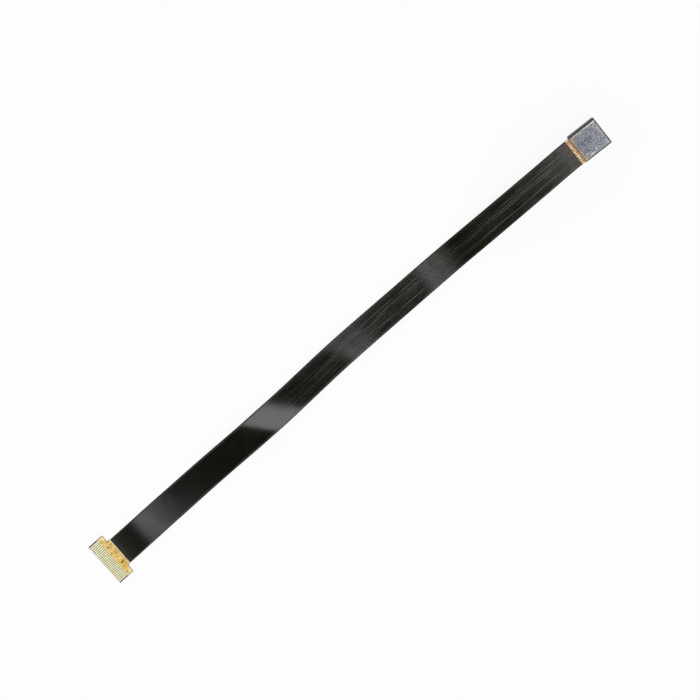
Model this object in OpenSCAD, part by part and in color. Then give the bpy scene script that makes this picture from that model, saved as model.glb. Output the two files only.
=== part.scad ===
// Camera module on a long flat flex circuit.
// A small fixed-focus camera head lies lens down, with its steel backing plate on top. The flex
// leaves the head under the plate, comes down to the table and ends in a tab with gold contacts.
// Origin: on the table under the lens axis. +X points away from the flex, +Z up. Millimetres.

/* [Lens holder] */
// Length of the holder along the flex
holder_l = 8.55; // [7.9:0.05:12]
// Width of the holder across the flex
holder_w = 8; // [7.6:0.1:12]
// Radius of the holder's upright corners
holder_corner_r = 0.3; // [0.1:0.05:0.6]
// Diameter of the round neck that the barrel screws into
neck_d = 7; // [6.9:0.05:7.3]
// Height of the neck
neck_h = 0.8; // [0.5:0.1:2]
// Bevel round the front edge of the square body
body_bevel = 0.2; // [0.05:0.05:0.25]
// Wall round the sensor's cavity
cavity_wall = 0.55; // [0.4:0.05:0.65]
// Thickness of the ledge between the barrel and the cavity
ledge_t = 0.3; // [0.25:0.05:0.6]
// Length of the light window in the ledge
window_l = 3.6; // [3:0.1:4]
// Width of the light window in the ledge
window_w = 3; // [2.6:0.1:3.6]
// Width of the vent groove in the holder's rim
vent_w = 0.4; // [0.2:0.1:0.8]
// Depth of the vent groove
vent_depth = 0.12; // [0.05:0.01:0.2]
// Pockets for thread glue round the neck
glue_pockets = 3; // [2:1:4]
// Width of a glue pocket
pocket_w = 0.7; // [0.4:0.1:1]
// Depth of a glue pocket below the neck's front face
pocket_depth = 0.3; // [0.1:0.05:0.4]
// Reach of a glue pocket into the neck's wall
pocket_reach = 0.22; // [0.1:0.02:0.3]

/* [Lens barrel] */
// Outer diameter of the barrel
barrel_d = 6; // [5.6:0.1:6.2]
// How far the barrel stands out of the neck
barrel_out = 0.8; // [0.4:0.1:1.5]
// Thickness of the barrel's front wall
front_t = 0.6; // [0.4:0.05:1]
// Widening of the front opening from the lens out to the front face
front_flare = 0.75; // [0.2:0.05:1]
// Bevel on the barrel's front rim
rim_bevel = 0.15; // [0.05:0.05:0.25]
// Tool notches round the front rim
tool_notches = 6; // [3:1:8]
// Width of a tool notch
notch_w = 0.55; // [0.3:0.05:0.8]
// Depth of a tool notch, inwards and upwards
notch_depth = 0.35; // [0.1:0.05:0.5]

/* [Lens stack] */
// Diameter of the front lens
front_lens_d = 3.4; // [3.2:0.1:3.6]
// Growth in diameter from each lens to the next
lens_growth = 0.4; // [0.3:0.05:0.45]
// Thickness of each lens at its flange
lens_edge_t = 0.4; // [0.35:0.05:0.6]
// Thickness of the light baffles behind the first and second lenses
baffle_t = 0.05; // [0.04:0.01:0.1]
// Thickness of the spacer ring behind the third lens
spacer_t = 0.22; // [0.2:0.02:0.4]
// Height of the retaining ring behind the last lens
retainer_h = 0.3; // [0.2:0.05:0.5]
// Depth from the barrel's back rim to the retaining ring
retainer_inset = 0.1; // [0.05:0.05:0.3]

/* [Sensor] */
// Length of the infrared filter
filter_l = 5; // [4.6:0.1:5.4]
// Width of the infrared filter
filter_w = 4.4; // [4.1:0.1:4.8]
// Thickness of the infrared filter
filter_t = 0.21; // [0.15:0.01:0.4]
// Depth of the filter's seat in the ledge
filter_seat = 0.1; // [0.05:0.01:0.15]
// Air between the filter and the sensor's cover glass
filter_air = 0.25; // [0.1:0.05:1]
// Length of the image sensor
sensor_l = 5.2; // [4.6:0.1:5.4]
// Width of the image sensor
sensor_w = 4.4; // [4:0.1:4.6]
// Thickness of the sensor's silicon
sensor_t = 0.25; // [0.15:0.01:0.5]
// Thickness of the sensor's cover glass
cover_glass_t = 0.3; // [0.2:0.05:0.5]
// Height of the dam between the silicon and its cover glass
dam_h = 0.05; // [0.03:0.01:0.1]
// Width of the dam
dam_w = 0.4; // [0.2:0.05:0.6]
// Height of the solder balls
ball_h = 0.15; // [0.1:0.01:0.2]
// Diameter of the solder balls
ball_d = 0.26; // [0.22:0.01:0.3]
// Pitch of the solder balls
ball_pitch = 0.65; // [0.5:0.05:0.7]

/* [Board parts] */
// Length of a capacitor across its two ends
capacitor_l = 0.6; // [0.4:0.05:0.7]
// Width and height of a capacitor
capacitor_w = 0.3; // [0.2:0.05:0.35]
// Length of a capacitor's metal end
capacitor_end = 0.15; // [0.08:0.01:0.18]
// Distance between capacitors in a row
capacitor_pitch = 1.1; // [0.9:0.1:1.4]
// Side of the memory chip
memory_l = 0.7; // [0.4:0.05:0.7]
// Height of the memory chip
memory_h = 0.35; // [0.2:0.05:0.4]

/* [Head laminate] */
// Thickness of the rigid board under the flex
board_t = 0.35; // [0.2:0.05:0.8]
// Thickness of the glue joints
glue_t = 0.05; // [0.03:0.01:0.1]
// Width of the glue line round the holder's rim
rim_glue_w = 0.4; // [0.2:0.05:0.5]
// Margin from the board's edge to the backing plate, on three sides
plate_margin = 0.22; // [0.1:0.01:0.5]
// Margin beside the backing plate on its +Y side, where more of the board's edge is left bare
plate_side_margin = 0.45; // [0.1:0.01:0.6]
// Thickness of the backing plate
plate_t = 0.2; // [0.1:0.05:0.5]
// Radius of the backing plate's corners
plate_corner_r = 0.15; // [0.05:0.05:0.4]

/* [Flex circuit] */
// Thickness of the bare flex
flex_t = 0.12; // [0.08:0.01:0.2]
// Thickness of the black shield films
film_t = 0.05; // [0.03:0.01:0.1]
// Width of the ribbon beside the head
ribbon_head_w = 7.6; // [6:0.1:7.9]
// Width of the ribbon beside the tab
ribbon_tab_w = 8.1; // [6.5:0.1:9]
// Bare amber stretch between the head and the black films
strip_l = 1.1; // [0.8:0.1:3]
// Thickness of the copper traces
trace_t = 0.02; // [0.01:0.01:0.04]
// Width of a copper trace
trace_w = 0.14; // [0.1:0.01:0.2]
// Width of a trace on the bare strip beside the head
strip_trace_w = 0.4; // [0.2:0.02:0.5]

/* [Contact tab] */
// Contacts on the tab
contacts = 24; // [20:1:26]
// Pitch of the contacts
contact_pitch = 0.5; // [0.5:0.01:0.6]
// Width of a contact
contact_w = 0.33; // [0.2:0.01:0.35]
// Length of a contact
contact_l = 3; // [2:0.1:3.8]
// Thickness of a contact
contact_t = 0.03; // [0.02:0.01:0.05]
// Length of the tab's full width
ear_l = 4.75; // [4:0.05:7]
// Length of the bare neck between the tab and the black films
tab_neck_l = 0.8; // [0.6:0.05:3]
// Radius of the tab's outer corners
tab_corner_r = 0.2; // [0.1:0.05:0.5]
// Radius in the corners between neck and ears
ear_fillet_r = 0.3; // [0.1:0.05:0.5]
// Thickness of the stiffener under the tab
stiffener_t = 0.2; // [0.15:0.01:0.4]
// How far the stiffener stands out past the tab's sides
stiffener_lip = 0; // [0:0.02:0.2]

/* [Fits] */
// Radial clearance between the barrel and the holder's bore
thread_gap = 0.03; // [0.02:0.01:0.08]
// Radial clearance round each lens in the barrel
lens_gap = 0.02; // [0.01:0.01:0.05]
// Clearance behind the barrel and round the filter and the glue
seat_gap = 0.05; // [0.02:0.01:0.1]

/* [Hidden] */

$fn = 96;
// Overshoot that keeps cuts clear of the faces they open
cut = 1;

// Each lens: its clear radius as a share of its own radius, the bulge of its front face and the
// bulge of its back face; a negative bulge is a hollow.
LENS_FORM = [
  [0.5, 0.3, -0.12],
  [0.55, -0.1, -0.14],
  [0.62, -0.12, 0.15],
  [0.76, -0.04, -0.1]
];
function lens_r(i) = (front_lens_d + i * lens_growth) / 2;
function clear_r(i) = lens_r(i) * LENS_FORM[i][0];
// The back face is clear a little further out than the front face
function back_clear_r(i) = clear_r(i) + (lens_r(i) - clear_r(i)) / 4;
last_lens = len(LENS_FORM) - 1;
// Gap in front of each lens, filled by a baffle or the spacer
LENS_GAPS = [0, baffle_t, baffle_t, spacer_t];
function lens_z(i) = i == 0 ? front_t : lens_z(i - 1) + lens_edge_t + LENS_GAPS[i];
// Height of the step in the barrel that carries a lens, or the ring in front of it
function seat_z(i) = lens_z(i) - LENS_GAPS[i];

// Heights up the head, from the table
retainer_z = lens_z(last_lens) + lens_edge_t;
barrel_h = retainer_z + retainer_h + retainer_inset;
body_z = barrel_out + neck_h;
ledge_z = barrel_h + seat_gap;
cavity_z = ledge_z + ledge_t;
filter_z = cavity_z - filter_seat;
cover_z = filter_z + filter_t + filter_air;
dam_z = cover_z + cover_glass_t;
sensor_z = dam_z + dam_h;
ball_z = sensor_z + sensor_t;
board_z = ball_z + ball_h;
rim_z = board_z - glue_t;
flex_z = board_z + board_t;
flex_mid_z = flex_z + flex_t / 2;
plate_glue_z = flex_z + flex_t;
plate_z = plate_glue_z + glue_t;

cavity_l = holder_l - 2 * cavity_wall;
cavity_w = holder_w - 2 * cavity_wall;
plate_l = holder_l - 2 * plate_margin;
plate_w = holder_w - plate_margin - plate_side_margin;
plate_y = (plate_margin - plate_side_margin) / 2;
barrel_r = barrel_d / 2;
bore_r = barrel_r + thread_gap;

// Tab levels and outline, in the tab's own frame: +X runs out to the contact edge
tab_z = stiffener_t;
tab_top_z = tab_z + flex_t;
tab_w = (contacts + 1) * contact_pitch;
tab_end = tab_neck_l + ear_l;
contact_x = tab_end - contact_l;
// Lengths over which the flex steps down to the ribbon and steps out to the ears
pad_step = 0.1;
ear_step = 0.02;
// Length of a trace that runs straight before it turns in towards the ribbon
trace_lead = 0.5;
// Share of the ribbon's width that the traces take up
trace_spread = 0.9;
strip_trace_count = 11;

// Route of the flex's middle layer from the head to the tab: distance from the end of the bare
// strip, sideways drift, and rise as a share of the head's height, from 0 on the table to 1
lie_z = film_t + flex_t / 2;
tab_rise = (tab_z + flex_t / 2 - lie_z) / (flex_mid_z - lie_z);
ROUTE = [
  [0, 0, 1], [4, 0.1, 1], [10, 0.4, 0.95], [17, 0.77, 0.8], [24, 1.18, 0.57], [31, 1.57, 0.34],
  [36, 1.83, 0.18], [39, 1.96, 0.115], [42, 2.08, 0.1], [47, 2.29, 0.115], [52, 2.52, 0.135],
  [58, 2.83, 0.13], [64, 3.13, 0.12], [70, 3.43, 0.115], [76, 3.73, 0.135], [81, 4.04, 0.155],
  [86, 4.44, 0.15], [91, 4.9, 0.14], [96, 5.36, 0.125], [99, 5.61, 0.125], [102, 5.84, 0.145],
  [105, 6.02, 0.18], [108, 6.19, 0.215], [110, 6.31, 0.225], [113, 6.48, 0.21], [119, 6.78, 0.15],
  [126, 7.16, 0.075], [131, 7.48, 0.035], [136, 7.8, 0.02], [140, 8.04, 0.025], [144, 8.28, 0.045],
  [147, 8.48, 0.07], [150, 8.67, 0.09], [152, 8.81, 0.08], [154, 8.96, 0.05],
  [155.7, 9.08, tab_rise], [157.1, 9.17, tab_rise]
];
strip_end_x = -holder_l / 2 - strip_l;
function route_point(i) = [
  strip_end_x - ROUTE[i][0],
  -ROUTE[i][1],
  lie_z + ROUTE[i][2] * (flex_mid_z - lie_z)
];
route_last = len(ROUTE) - 1;
route_end = route_point(route_last);
route_end_run = route_end - route_point(route_last - 1);
tab_heading = atan2(route_end_run.y, route_end_run.x);

function unit(v) = v / norm(v);
function route_run(i) = unit(
  route_point(min(i + 1, route_last)) - route_point(max(i - 1, 0))
);
function route_side(i) = unit(cross([0, 0, 1], route_run(i)));
function route_up(i) = cross(route_run(i), route_side(i));
function ribbon_w(i) =
  ribbon_head_w + (ribbon_tab_w - ribbon_head_w) * ROUTE[i][0] / ROUTE[route_last][0];

// Sides of the flex's flat ends, as places along the flex with the half width there
pad_edge = concat(
  [
    for (a = [0:45:90])
      [
        holder_l / 2 + holder_corner_r * (cos(a) - 1),
        holder_w / 2 + holder_corner_r * (sin(a) - 1)
      ]
  ],
  [[-holder_l / 2, holder_w / 2], [-holder_l / 2 - pad_step, ribbon_head_w / 2]]
);
function tab_edge(lip) = concat(
  [
    for (a = [0:45:90])
      [
        tab_neck_l - lip + ear_fillet_r * (sin(a) - 1),
        ribbon_tab_w / 2 + lip + ear_fillet_r * (1 - cos(a))
      ]
  ],
  [
    for (a = [0:45:90])
      [
        tab_neck_l - lip + ear_step + tab_corner_r * (1 - cos(a)),
        tab_w / 2 + lip + tab_corner_r * (sin(a) - 1)
      ]
  ],
  [
    for (a = [90:-45:0])
      [tab_end + tab_corner_r * (cos(a) - 1), tab_w / 2 + lip + tab_corner_r * (sin(a) - 1)]
  ]
);

// A station of a sweep: centre, sideways and upward directions, and half width
ribbon_stations = [
  for (i = [0:route_last]) [route_point(i), route_side(i), route_up(i), ribbon_w(i) / 2]
];
flex_stations = concat(
  [for (edge = pad_edge) [[edge[0], 0, flex_mid_z], route_side(0), [0, 0, 1], edge[1]]],
  ribbon_stations,
  [
    for (edge = tab_edge(0))
      [route_end + edge[0] * route_run(route_last), route_side(route_last), [0, 0, 1], edge[1]]
  ]
);

// --- Shared shapes ---

// Flat layer swept through stations, between two heights above their centres. Every face splits
// along the same diagonal, so that one layer lies face to face on the next.
module layer(stations, low, high) {
  corners = [[-1, low], [1, low], [1, high], [-1, high]];
  sides = len(corners);
  last = len(stations) - 1;
  points = [
    for (at = stations, corner = corners)
      at[0] + corner[0] * at[3] * at[1] + corner[1] * at[2]
  ];
  walls = [
    for (i = [0:last - 1], k = [0:sides - 1])
      let (a = i * sides + k, b = i * sides + (k + 1) % sides)
        each k < sides / 2
          ? [[a, b, b + sides], [a, b + sides, a + sides]]
          : [[b, b + sides, a + sides], [b, a + sides, a]]
  ];
  near_end = [for (k = [sides - 1:-1:0]) k];
  far_end = [for (k = [0:sides - 1]) last * sides + k];
  polyhedron(points, concat(walls, [near_end, far_end]), convexity = 8);
}

module at_tab() {
  translate([route_end.x, route_end.y, 0])
    rotate([0, 0, tab_heading])
      children();
}

// Flat rectangle with round corners, centred on the origin
module round_rect(l, w, r) {
  square([l - 2 * r, w], center = true);
  square([l, w - 2 * r], center = true);
  for (x = [-1, 1], y = [-1, 1])
    translate([x * (l / 2 - r), y * (w / 2 - r)])
      circle(r = r);
}

module slab(l, w, r, h) {
  linear_extrude(h)
    round_rect(l, w, r);
}

// Box centred in X and Y that stands on z = 0
module block(l, w, h) {
  translate([-l / 2, -w / 2, 0])
    cube([l, w, h]);
}

// Segment of a circle under the X axis, from the axis out to half_w and sag deep
module bulge(half_w, sag) {
  r = (half_w * half_w + sag * sag) / (2 * sag);
  intersection() {
    translate([0, r - sag])
      circle(r = r, $fn = 240);
    translate([0, -sag])
      square([half_w, sag]);
  }
}

// Lens with flat flange faces and curved faces inside its clear radius, front face down
module lens(i) {
  form = LENS_FORM[i];
  translate([0, 0, lens_z(i)])
    rotate_extrude()
      difference() {
        union() {
          square([lens_r(i) - lens_gap, lens_edge_t]);
          if (form[1] > 0)
            bulge(clear_r(i), form[1]);
          if (form[2] > 0)
            translate([0, lens_edge_t])
              mirror([0, 1])
                bulge(back_clear_r(i), form[2]);
        }
        if (form[1] < 0)
          mirror([0, 1])
            bulge(clear_r(i), -form[1]);
        if (form[2] < 0)
          translate([0, lens_edge_t])
            bulge(back_clear_r(i), -form[2]);
      }
}

// Flat ring between two radii
module ring(outer_r, inner_r, h) {
  difference() {
    cylinder(r = outer_r, h = h);
    translate([0, 0, -cut])
      cylinder(r = inner_r, h = h + 2 * cut);
  }
}

// Flange-side radius that keeps a ring off the curved zones of lens i and of the one behind it
function ring_inner_r(i) = max(back_clear_r(i), clear_r(min(i + 1, last_lens))) + lens_gap;

// --- Head laminate ---

module backing_plate() {
  color("silver")
    translate([0, plate_y, plate_z])
      slab(plate_l, plate_w, plate_corner_r, plate_t);
}

module plate_adhesive() {
  color("dimgray")
    translate([0, plate_y, plate_glue_z])
      slab(plate_l - 2 * glue_t, plate_w - 2 * glue_t, plate_corner_r, glue_t);
}

module head_board() {
  color("#1c1d1f")
    translate([0, 0, board_z])
      slab(holder_l, holder_w, holder_corner_r, board_t);
}

// --- Flex circuit ---

module flex_circuit() {
  color("goldenrod")
    layer(flex_stations, -flex_t / 2, flex_t / 2);
}

module top_shield_film() {
  color("#26272a")
    layer(ribbon_stations, flex_t / 2, flex_t / 2 + film_t);
}

module bottom_shield_film() {
  color("#26272a")
    layer(ribbon_stations, -flex_t / 2 - film_t, -flex_t / 2);
}

// Traces that cross the bare strip beside the head
module strip_traces() {
  pitch = ribbon_head_w * trace_spread / (strip_trace_count - 1);
  color("peru")
    for (i = [0:strip_trace_count - 1])
      translate([
        strip_end_x,
        (i - (strip_trace_count - 1) / 2) * pitch - strip_trace_w / 2,
        flex_z + flex_t
      ])
        cube([strip_l + plate_margin - seat_gap, strip_trace_w, trace_t]);
}

// One trace per contact, led in from the contact's pitch to the ribbon's width
module tab_traces() {
  spread = ribbon_tab_w * trace_spread / tab_w;
  half = trace_w / 2;
  color("darkgoldenrod")
    at_tab()
      translate([0, 0, tab_top_z])
        linear_extrude(trace_t)
          for (i = [0:contacts - 1]) {
            y = (i - (contacts - 1) / 2) * contact_pitch;
            polygon([
              [contact_x, y - half], [contact_x, y + half], [contact_x - trace_lead, y + half],
              [trace_lead, y * spread + half], [seat_gap, y * spread + half],
              [seat_gap, y * spread - half],
              [trace_lead, y * spread - half], [contact_x - trace_lead, y - half]
            ]);
          }
}

module gold_contacts() {
  color("gold")
    at_tab()
      for (i = [0:contacts - 1])
        translate([contact_x, (i - (contacts - 1) / 2) * contact_pitch - contact_w / 2, tab_top_z])
          cube([contact_l, contact_w, contact_t]);
}

module tab_stiffener() {
  edge = concat([[seat_gap, ribbon_tab_w / 2 + stiffener_lip]], tab_edge(stiffener_lip));
  count = len(edge);
  color("saddlebrown")
    at_tab()
      linear_extrude(stiffener_t)
        polygon([
          for (i = [0:2 * count - 1])
            i < count ? edge[i] : [edge[2 * count - 1 - i].x, -edge[2 * count - 1 - i].y]
        ]);
}

// --- Sensor and board parts ---

module solder_balls() {
  nx = floor((sensor_l - ball_pitch) / ball_pitch);
  ny = floor((sensor_w - ball_pitch) / ball_pitch);
  color("gainsboro")
    translate([0, 0, ball_z])
      for (x = [0:nx], y = [0:ny])
        translate([(x - nx / 2) * ball_pitch, (y - ny / 2) * ball_pitch, 0])
          intersection() {
            translate([0, 0, ball_h / 2])
              sphere(d = ball_d, $fn = 32);
            block(ball_d, ball_d, ball_h);
          }
}

module image_sensor() {
  color("slategray")
    translate([0, 0, sensor_z])
      block(sensor_l, sensor_w, sensor_t);
}

module sensor_dam() {
  color("darkslategray")
    translate([0, 0, dam_z])
      difference() {
        block(sensor_l, sensor_w, dam_h);
        translate([0, 0, -cut])
          block(sensor_l - 2 * dam_w, sensor_w - 2 * dam_w, dam_h + 2 * cut);
      }
}

module sensor_cover_glass() {
  color("lightcyan", 0.5)
    translate([0, 0, cover_z])
      block(sensor_l, sensor_w, cover_glass_t);
}

module infrared_filter() {
  color("lightblue", 0.5)
    translate([0, 0, filter_z])
      block(filter_l, filter_w, filter_t);
}

// Four places on each long side of the sensor, midway between it and the cavity's wall
module at_capacitors() {
  count = 4;
  row_y = (sensor_w + cavity_w) / 4;
  for (i = [0:count - 1], side = [-1, 1])
    translate([(i - (count - 1) / 2) * capacitor_pitch, side * row_y, board_z - capacitor_w])
      children();
}

module capacitor_bodies() {
  core_l = capacitor_l - 2 * capacitor_end;
  color("tan")
    at_capacitors()
      block(core_l, capacitor_w, capacitor_w);
}

module capacitor_ends() {
  color("lightgray")
    at_capacitors()
      for (x = [-1, 1])
        translate([x * (capacitor_l - capacitor_end) / 2, 0, 0])
          block(capacitor_end, capacitor_w, capacitor_w);
}

module memory_chip() {
  color("#202022")
    translate([(sensor_l + cavity_l) / 4, 0, board_z - memory_h])
      block(memory_l, memory_l, memory_h);
}

// --- Holder ---

// Places of the glue pockets round the neck
module at_pockets() {
  for (i = [0:glue_pockets - 1])
    rotate([0, 0, i * 360 / glue_pockets])
      children();
}

module glue_pocket(inner_r) {
  difference() {
    intersection() {
      cylinder(r = bore_r + pocket_reach, h = pocket_depth);
      translate([0, -pocket_w / 2, 0])
        cube([neck_d, pocket_w, pocket_depth]);
    }
    translate([0, 0, -cut])
      cylinder(r = inner_r, h = pocket_depth + 2 * cut);
  }
}

// Triangular bars that cut the bevel round the front edge of the body
module front_bevels() {
  side = body_bevel * sqrt(2);
  for (turn = [0, 90, 180, 270]) {
    reach = (turn % 180 == 0 ? holder_l : holder_w) / 2;
    rotate([0, 0, turn])
      translate([reach, 0, body_z])
        rotate([0, 45, 0])
          cube([side, 2 * holder_l + 2 * holder_w, side], center = true);
  }
}

module lens_holder() {
  color("#222325")
    difference() {
      union() {
        translate([0, 0, body_z])
          slab(holder_l, holder_w, holder_corner_r, rim_z - body_z);
        translate([0, 0, barrel_out])
          cylinder(d = neck_d, h = neck_h + body_bevel);
      }
      difference() {
        front_bevels();
        cylinder(d = neck_d, h = rim_z);
      }
      cylinder(r = bore_r, h = ledge_z);
      block(window_l, window_w, rim_z);
      translate([0, 0, filter_z])
        block(filter_l + 2 * seat_gap, filter_w + 2 * seat_gap, rim_z);
      translate([0, 0, cavity_z])
        slab(cavity_l, cavity_w, holder_corner_r, rim_z);
      translate([0, -vent_w / 2, rim_z - vent_depth])
        cube([holder_l, vent_w, vent_depth + cut]);
      translate([0, 0, barrel_out])
        at_pockets()
          glue_pocket(0);
    }
}

module thread_glue() {
  color("whitesmoke")
    translate([0, 0, barrel_out])
      at_pockets()
        glue_pocket(barrel_r);
}

module holder_adhesive() {
  outer = cavity_wall - rim_glue_w;
  color("#101010")
    translate([0, 0, rim_z])
      difference() {
        slab(holder_l - outer, holder_w - outer, holder_corner_r, glue_t);
        translate([0, 0, -cut])
          block(
            holder_l - outer - 2 * rim_glue_w,
            holder_w - outer - 2 * rim_glue_w,
            glue_t + 2 * cut
          );
      }
}

// --- Lens barrel and its stack ---

module lens_barrel() {
  throat_r = clear_r(0) + lens_gap;
  color("#2b2c2e")
    difference() {
      rotate_extrude()
        polygon([
          [throat_r + front_flare, 0], [barrel_r - rim_bevel, 0], [barrel_r, rim_bevel],
          [barrel_r, barrel_h],
          for (i = [last_lens:-1:0])
            each [
              [lens_r(i), i == last_lens ? barrel_h : seat_z(i + 1)],
              [lens_r(i), seat_z(i)]
            ],
          [throat_r, front_t]
        ]);
      for (i = [0:tool_notches - 1])
        rotate([0, 0, (i + 0.5) * 360 / tool_notches])
          translate([barrel_r - notch_depth, -notch_w / 2, -cut])
            cube([notch_depth + cut, notch_w, notch_depth + cut]);
    }
}

module front_lens() {
  color("lightblue", 0.6)
    lens(0);
}

module second_lens() {
  color("lightblue", 0.6)
    lens(1);
}

module third_lens() {
  color("lightblue", 0.6)
    lens(2);
}

module rear_lens() {
  color("lightblue", 0.6)
    lens(last_lens);
}

// Thin black ring behind the front lens that sets the light cone
module aperture_stop() {
  color("#151515")
    translate([0, 0, seat_z(1)])
      ring(lens_r(1) - lens_gap, ring_inner_r(0), baffle_t);
}

module light_baffle() {
  color("#151515")
    translate([0, 0, seat_z(2)])
      ring(lens_r(2) - lens_gap, ring_inner_r(1), baffle_t);
}

module spacer_ring() {
  color("#1d1d1d")
    translate([0, 0, seat_z(last_lens)])
      ring(lens_r(last_lens) - lens_gap, ring_inner_r(last_lens - 1), spacer_t);
}

module retaining_ring() {
  color("#1d1d1d")
    translate([0, 0, retainer_z])
      ring(lens_r(last_lens) - lens_gap, ring_inner_r(last_lens), retainer_h);
}

backing_plate();
plate_adhesive();
flex_circuit();
top_shield_film();
bottom_shield_film();
strip_traces();
tab_traces();
gold_contacts();
tab_stiffener();
head_board();
memory_chip();
capacitor_bodies();
capacitor_ends();
solder_balls();
image_sensor();
sensor_dam();
sensor_cover_glass();
infrared_filter();
holder_adhesive();
lens_holder();
thread_glue();
lens_barrel();
front_lens();
second_lens();
third_lens();
rear_lens();
aperture_stop();
light_baffle();
spacer_ring();
retaining_ring();
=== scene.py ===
"""Looks of a small camera module that lies lens down on a long flat flex circuit.

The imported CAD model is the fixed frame. This script adds the smooth flex with its embossed shield
films, the stamped backing plate, the barrel's thread and the plated holes of the contact tab, and
gives every piece its finish, a plain pale floor, soft light and the camera.
"""

import logging
import math
import random
from dataclasses import dataclass
from enum import Enum
from typing import Callable, ClassVar, Sequence

import bmesh
import bpy
from mathutils import Matrix, Vector, noise


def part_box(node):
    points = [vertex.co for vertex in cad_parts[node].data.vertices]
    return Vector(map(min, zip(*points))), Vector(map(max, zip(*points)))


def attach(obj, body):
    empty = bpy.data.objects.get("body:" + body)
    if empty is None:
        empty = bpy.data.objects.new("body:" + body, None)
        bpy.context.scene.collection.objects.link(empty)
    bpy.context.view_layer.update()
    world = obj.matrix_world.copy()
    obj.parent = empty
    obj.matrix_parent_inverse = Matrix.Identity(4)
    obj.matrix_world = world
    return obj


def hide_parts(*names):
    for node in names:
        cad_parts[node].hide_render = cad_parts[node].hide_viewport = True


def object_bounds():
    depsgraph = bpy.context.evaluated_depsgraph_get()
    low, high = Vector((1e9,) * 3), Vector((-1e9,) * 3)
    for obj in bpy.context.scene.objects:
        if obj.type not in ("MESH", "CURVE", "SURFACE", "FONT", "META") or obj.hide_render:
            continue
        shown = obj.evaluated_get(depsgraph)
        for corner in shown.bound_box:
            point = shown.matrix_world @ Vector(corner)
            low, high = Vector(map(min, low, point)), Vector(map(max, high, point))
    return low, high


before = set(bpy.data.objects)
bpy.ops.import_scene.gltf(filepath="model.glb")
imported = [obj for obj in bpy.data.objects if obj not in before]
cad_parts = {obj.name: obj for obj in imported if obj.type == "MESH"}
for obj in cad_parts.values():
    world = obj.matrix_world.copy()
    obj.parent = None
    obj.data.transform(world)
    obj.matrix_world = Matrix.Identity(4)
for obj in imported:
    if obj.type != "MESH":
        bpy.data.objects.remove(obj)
CAD_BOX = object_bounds()

MM = 0.001
ROOT = "root"
WHITE = (1.0, 1.0, 1.0)

# Steps in which a round corner of the flex is drawn, and the tab's turn away from the X axis
QUARTER_STEPS = 3
TAB_TURN_DEG = 3.68
Colour = tuple[float, float, float]
Span = tuple[float, float]

log = logging.getLogger("camera_module")


# --- Shader nodes ---


class Maths(Enum):
    """Operations of a Math node that the finishes use."""

    ADD = "ADD"
    SUBTRACT = "SUBTRACT"
    MULTIPLY = "MULTIPLY"
    DIVIDE = "DIVIDE"
    POWER = "POWER"
    ABSOLUTE = "ABSOLUTE"
    MAXIMUM = "MAXIMUM"
    SINE = "SINE"


class Signal:
    """An output socket that takes part in sums as a number does."""

    def __init__(self, sheet: "NodeSheet", socket: bpy.types.NodeSocket) -> None:
        """Wraps a socket of a sheet's tree."""
        self.sheet = sheet
        self.socket = socket

    def _with(self, operation: Maths, *terms: "Signal | float") -> "Signal":
        """Adds a Math node on the given terms."""
        settings = {"operation": operation.value}
        return self.sheet.node("ShaderNodeMath", settings, dict(enumerate(terms)))

    def __add__(self, other: "Signal | float") -> "Signal":
        """Sum."""
        return self._with(Maths.ADD, self, other)

    __radd__ = __add__

    def __sub__(self, other: "Signal | float") -> "Signal":
        """Difference."""
        return self._with(Maths.SUBTRACT, self, other)

    def __rsub__(self, other: float) -> "Signal":
        """Difference from a number."""
        return self._with(Maths.SUBTRACT, other, self)

    def __mul__(self, other: "Signal | float") -> "Signal":
        """Product."""
        return self._with(Maths.MULTIPLY, self, other)

    __rmul__ = __mul__

    def __truediv__(self, other: "Signal | float") -> "Signal":
        """Quotient."""
        return self._with(Maths.DIVIDE, self, other)

    def __pow__(self, power: float) -> "Signal":
        """Power."""
        return self._with(Maths.POWER, self, power)

    def __abs__(self) -> "Signal":
        """Size without its sign."""
        return self._with(Maths.ABSOLUTE, self)

    def most(self, other: "Signal | float") -> "Signal":
        """The larger of two."""
        return self._with(Maths.MAXIMUM, self, other)

    def sine(self) -> "Signal":
        """Sine of this angle in radians."""
        return self._with(Maths.SINE, self)


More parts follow.
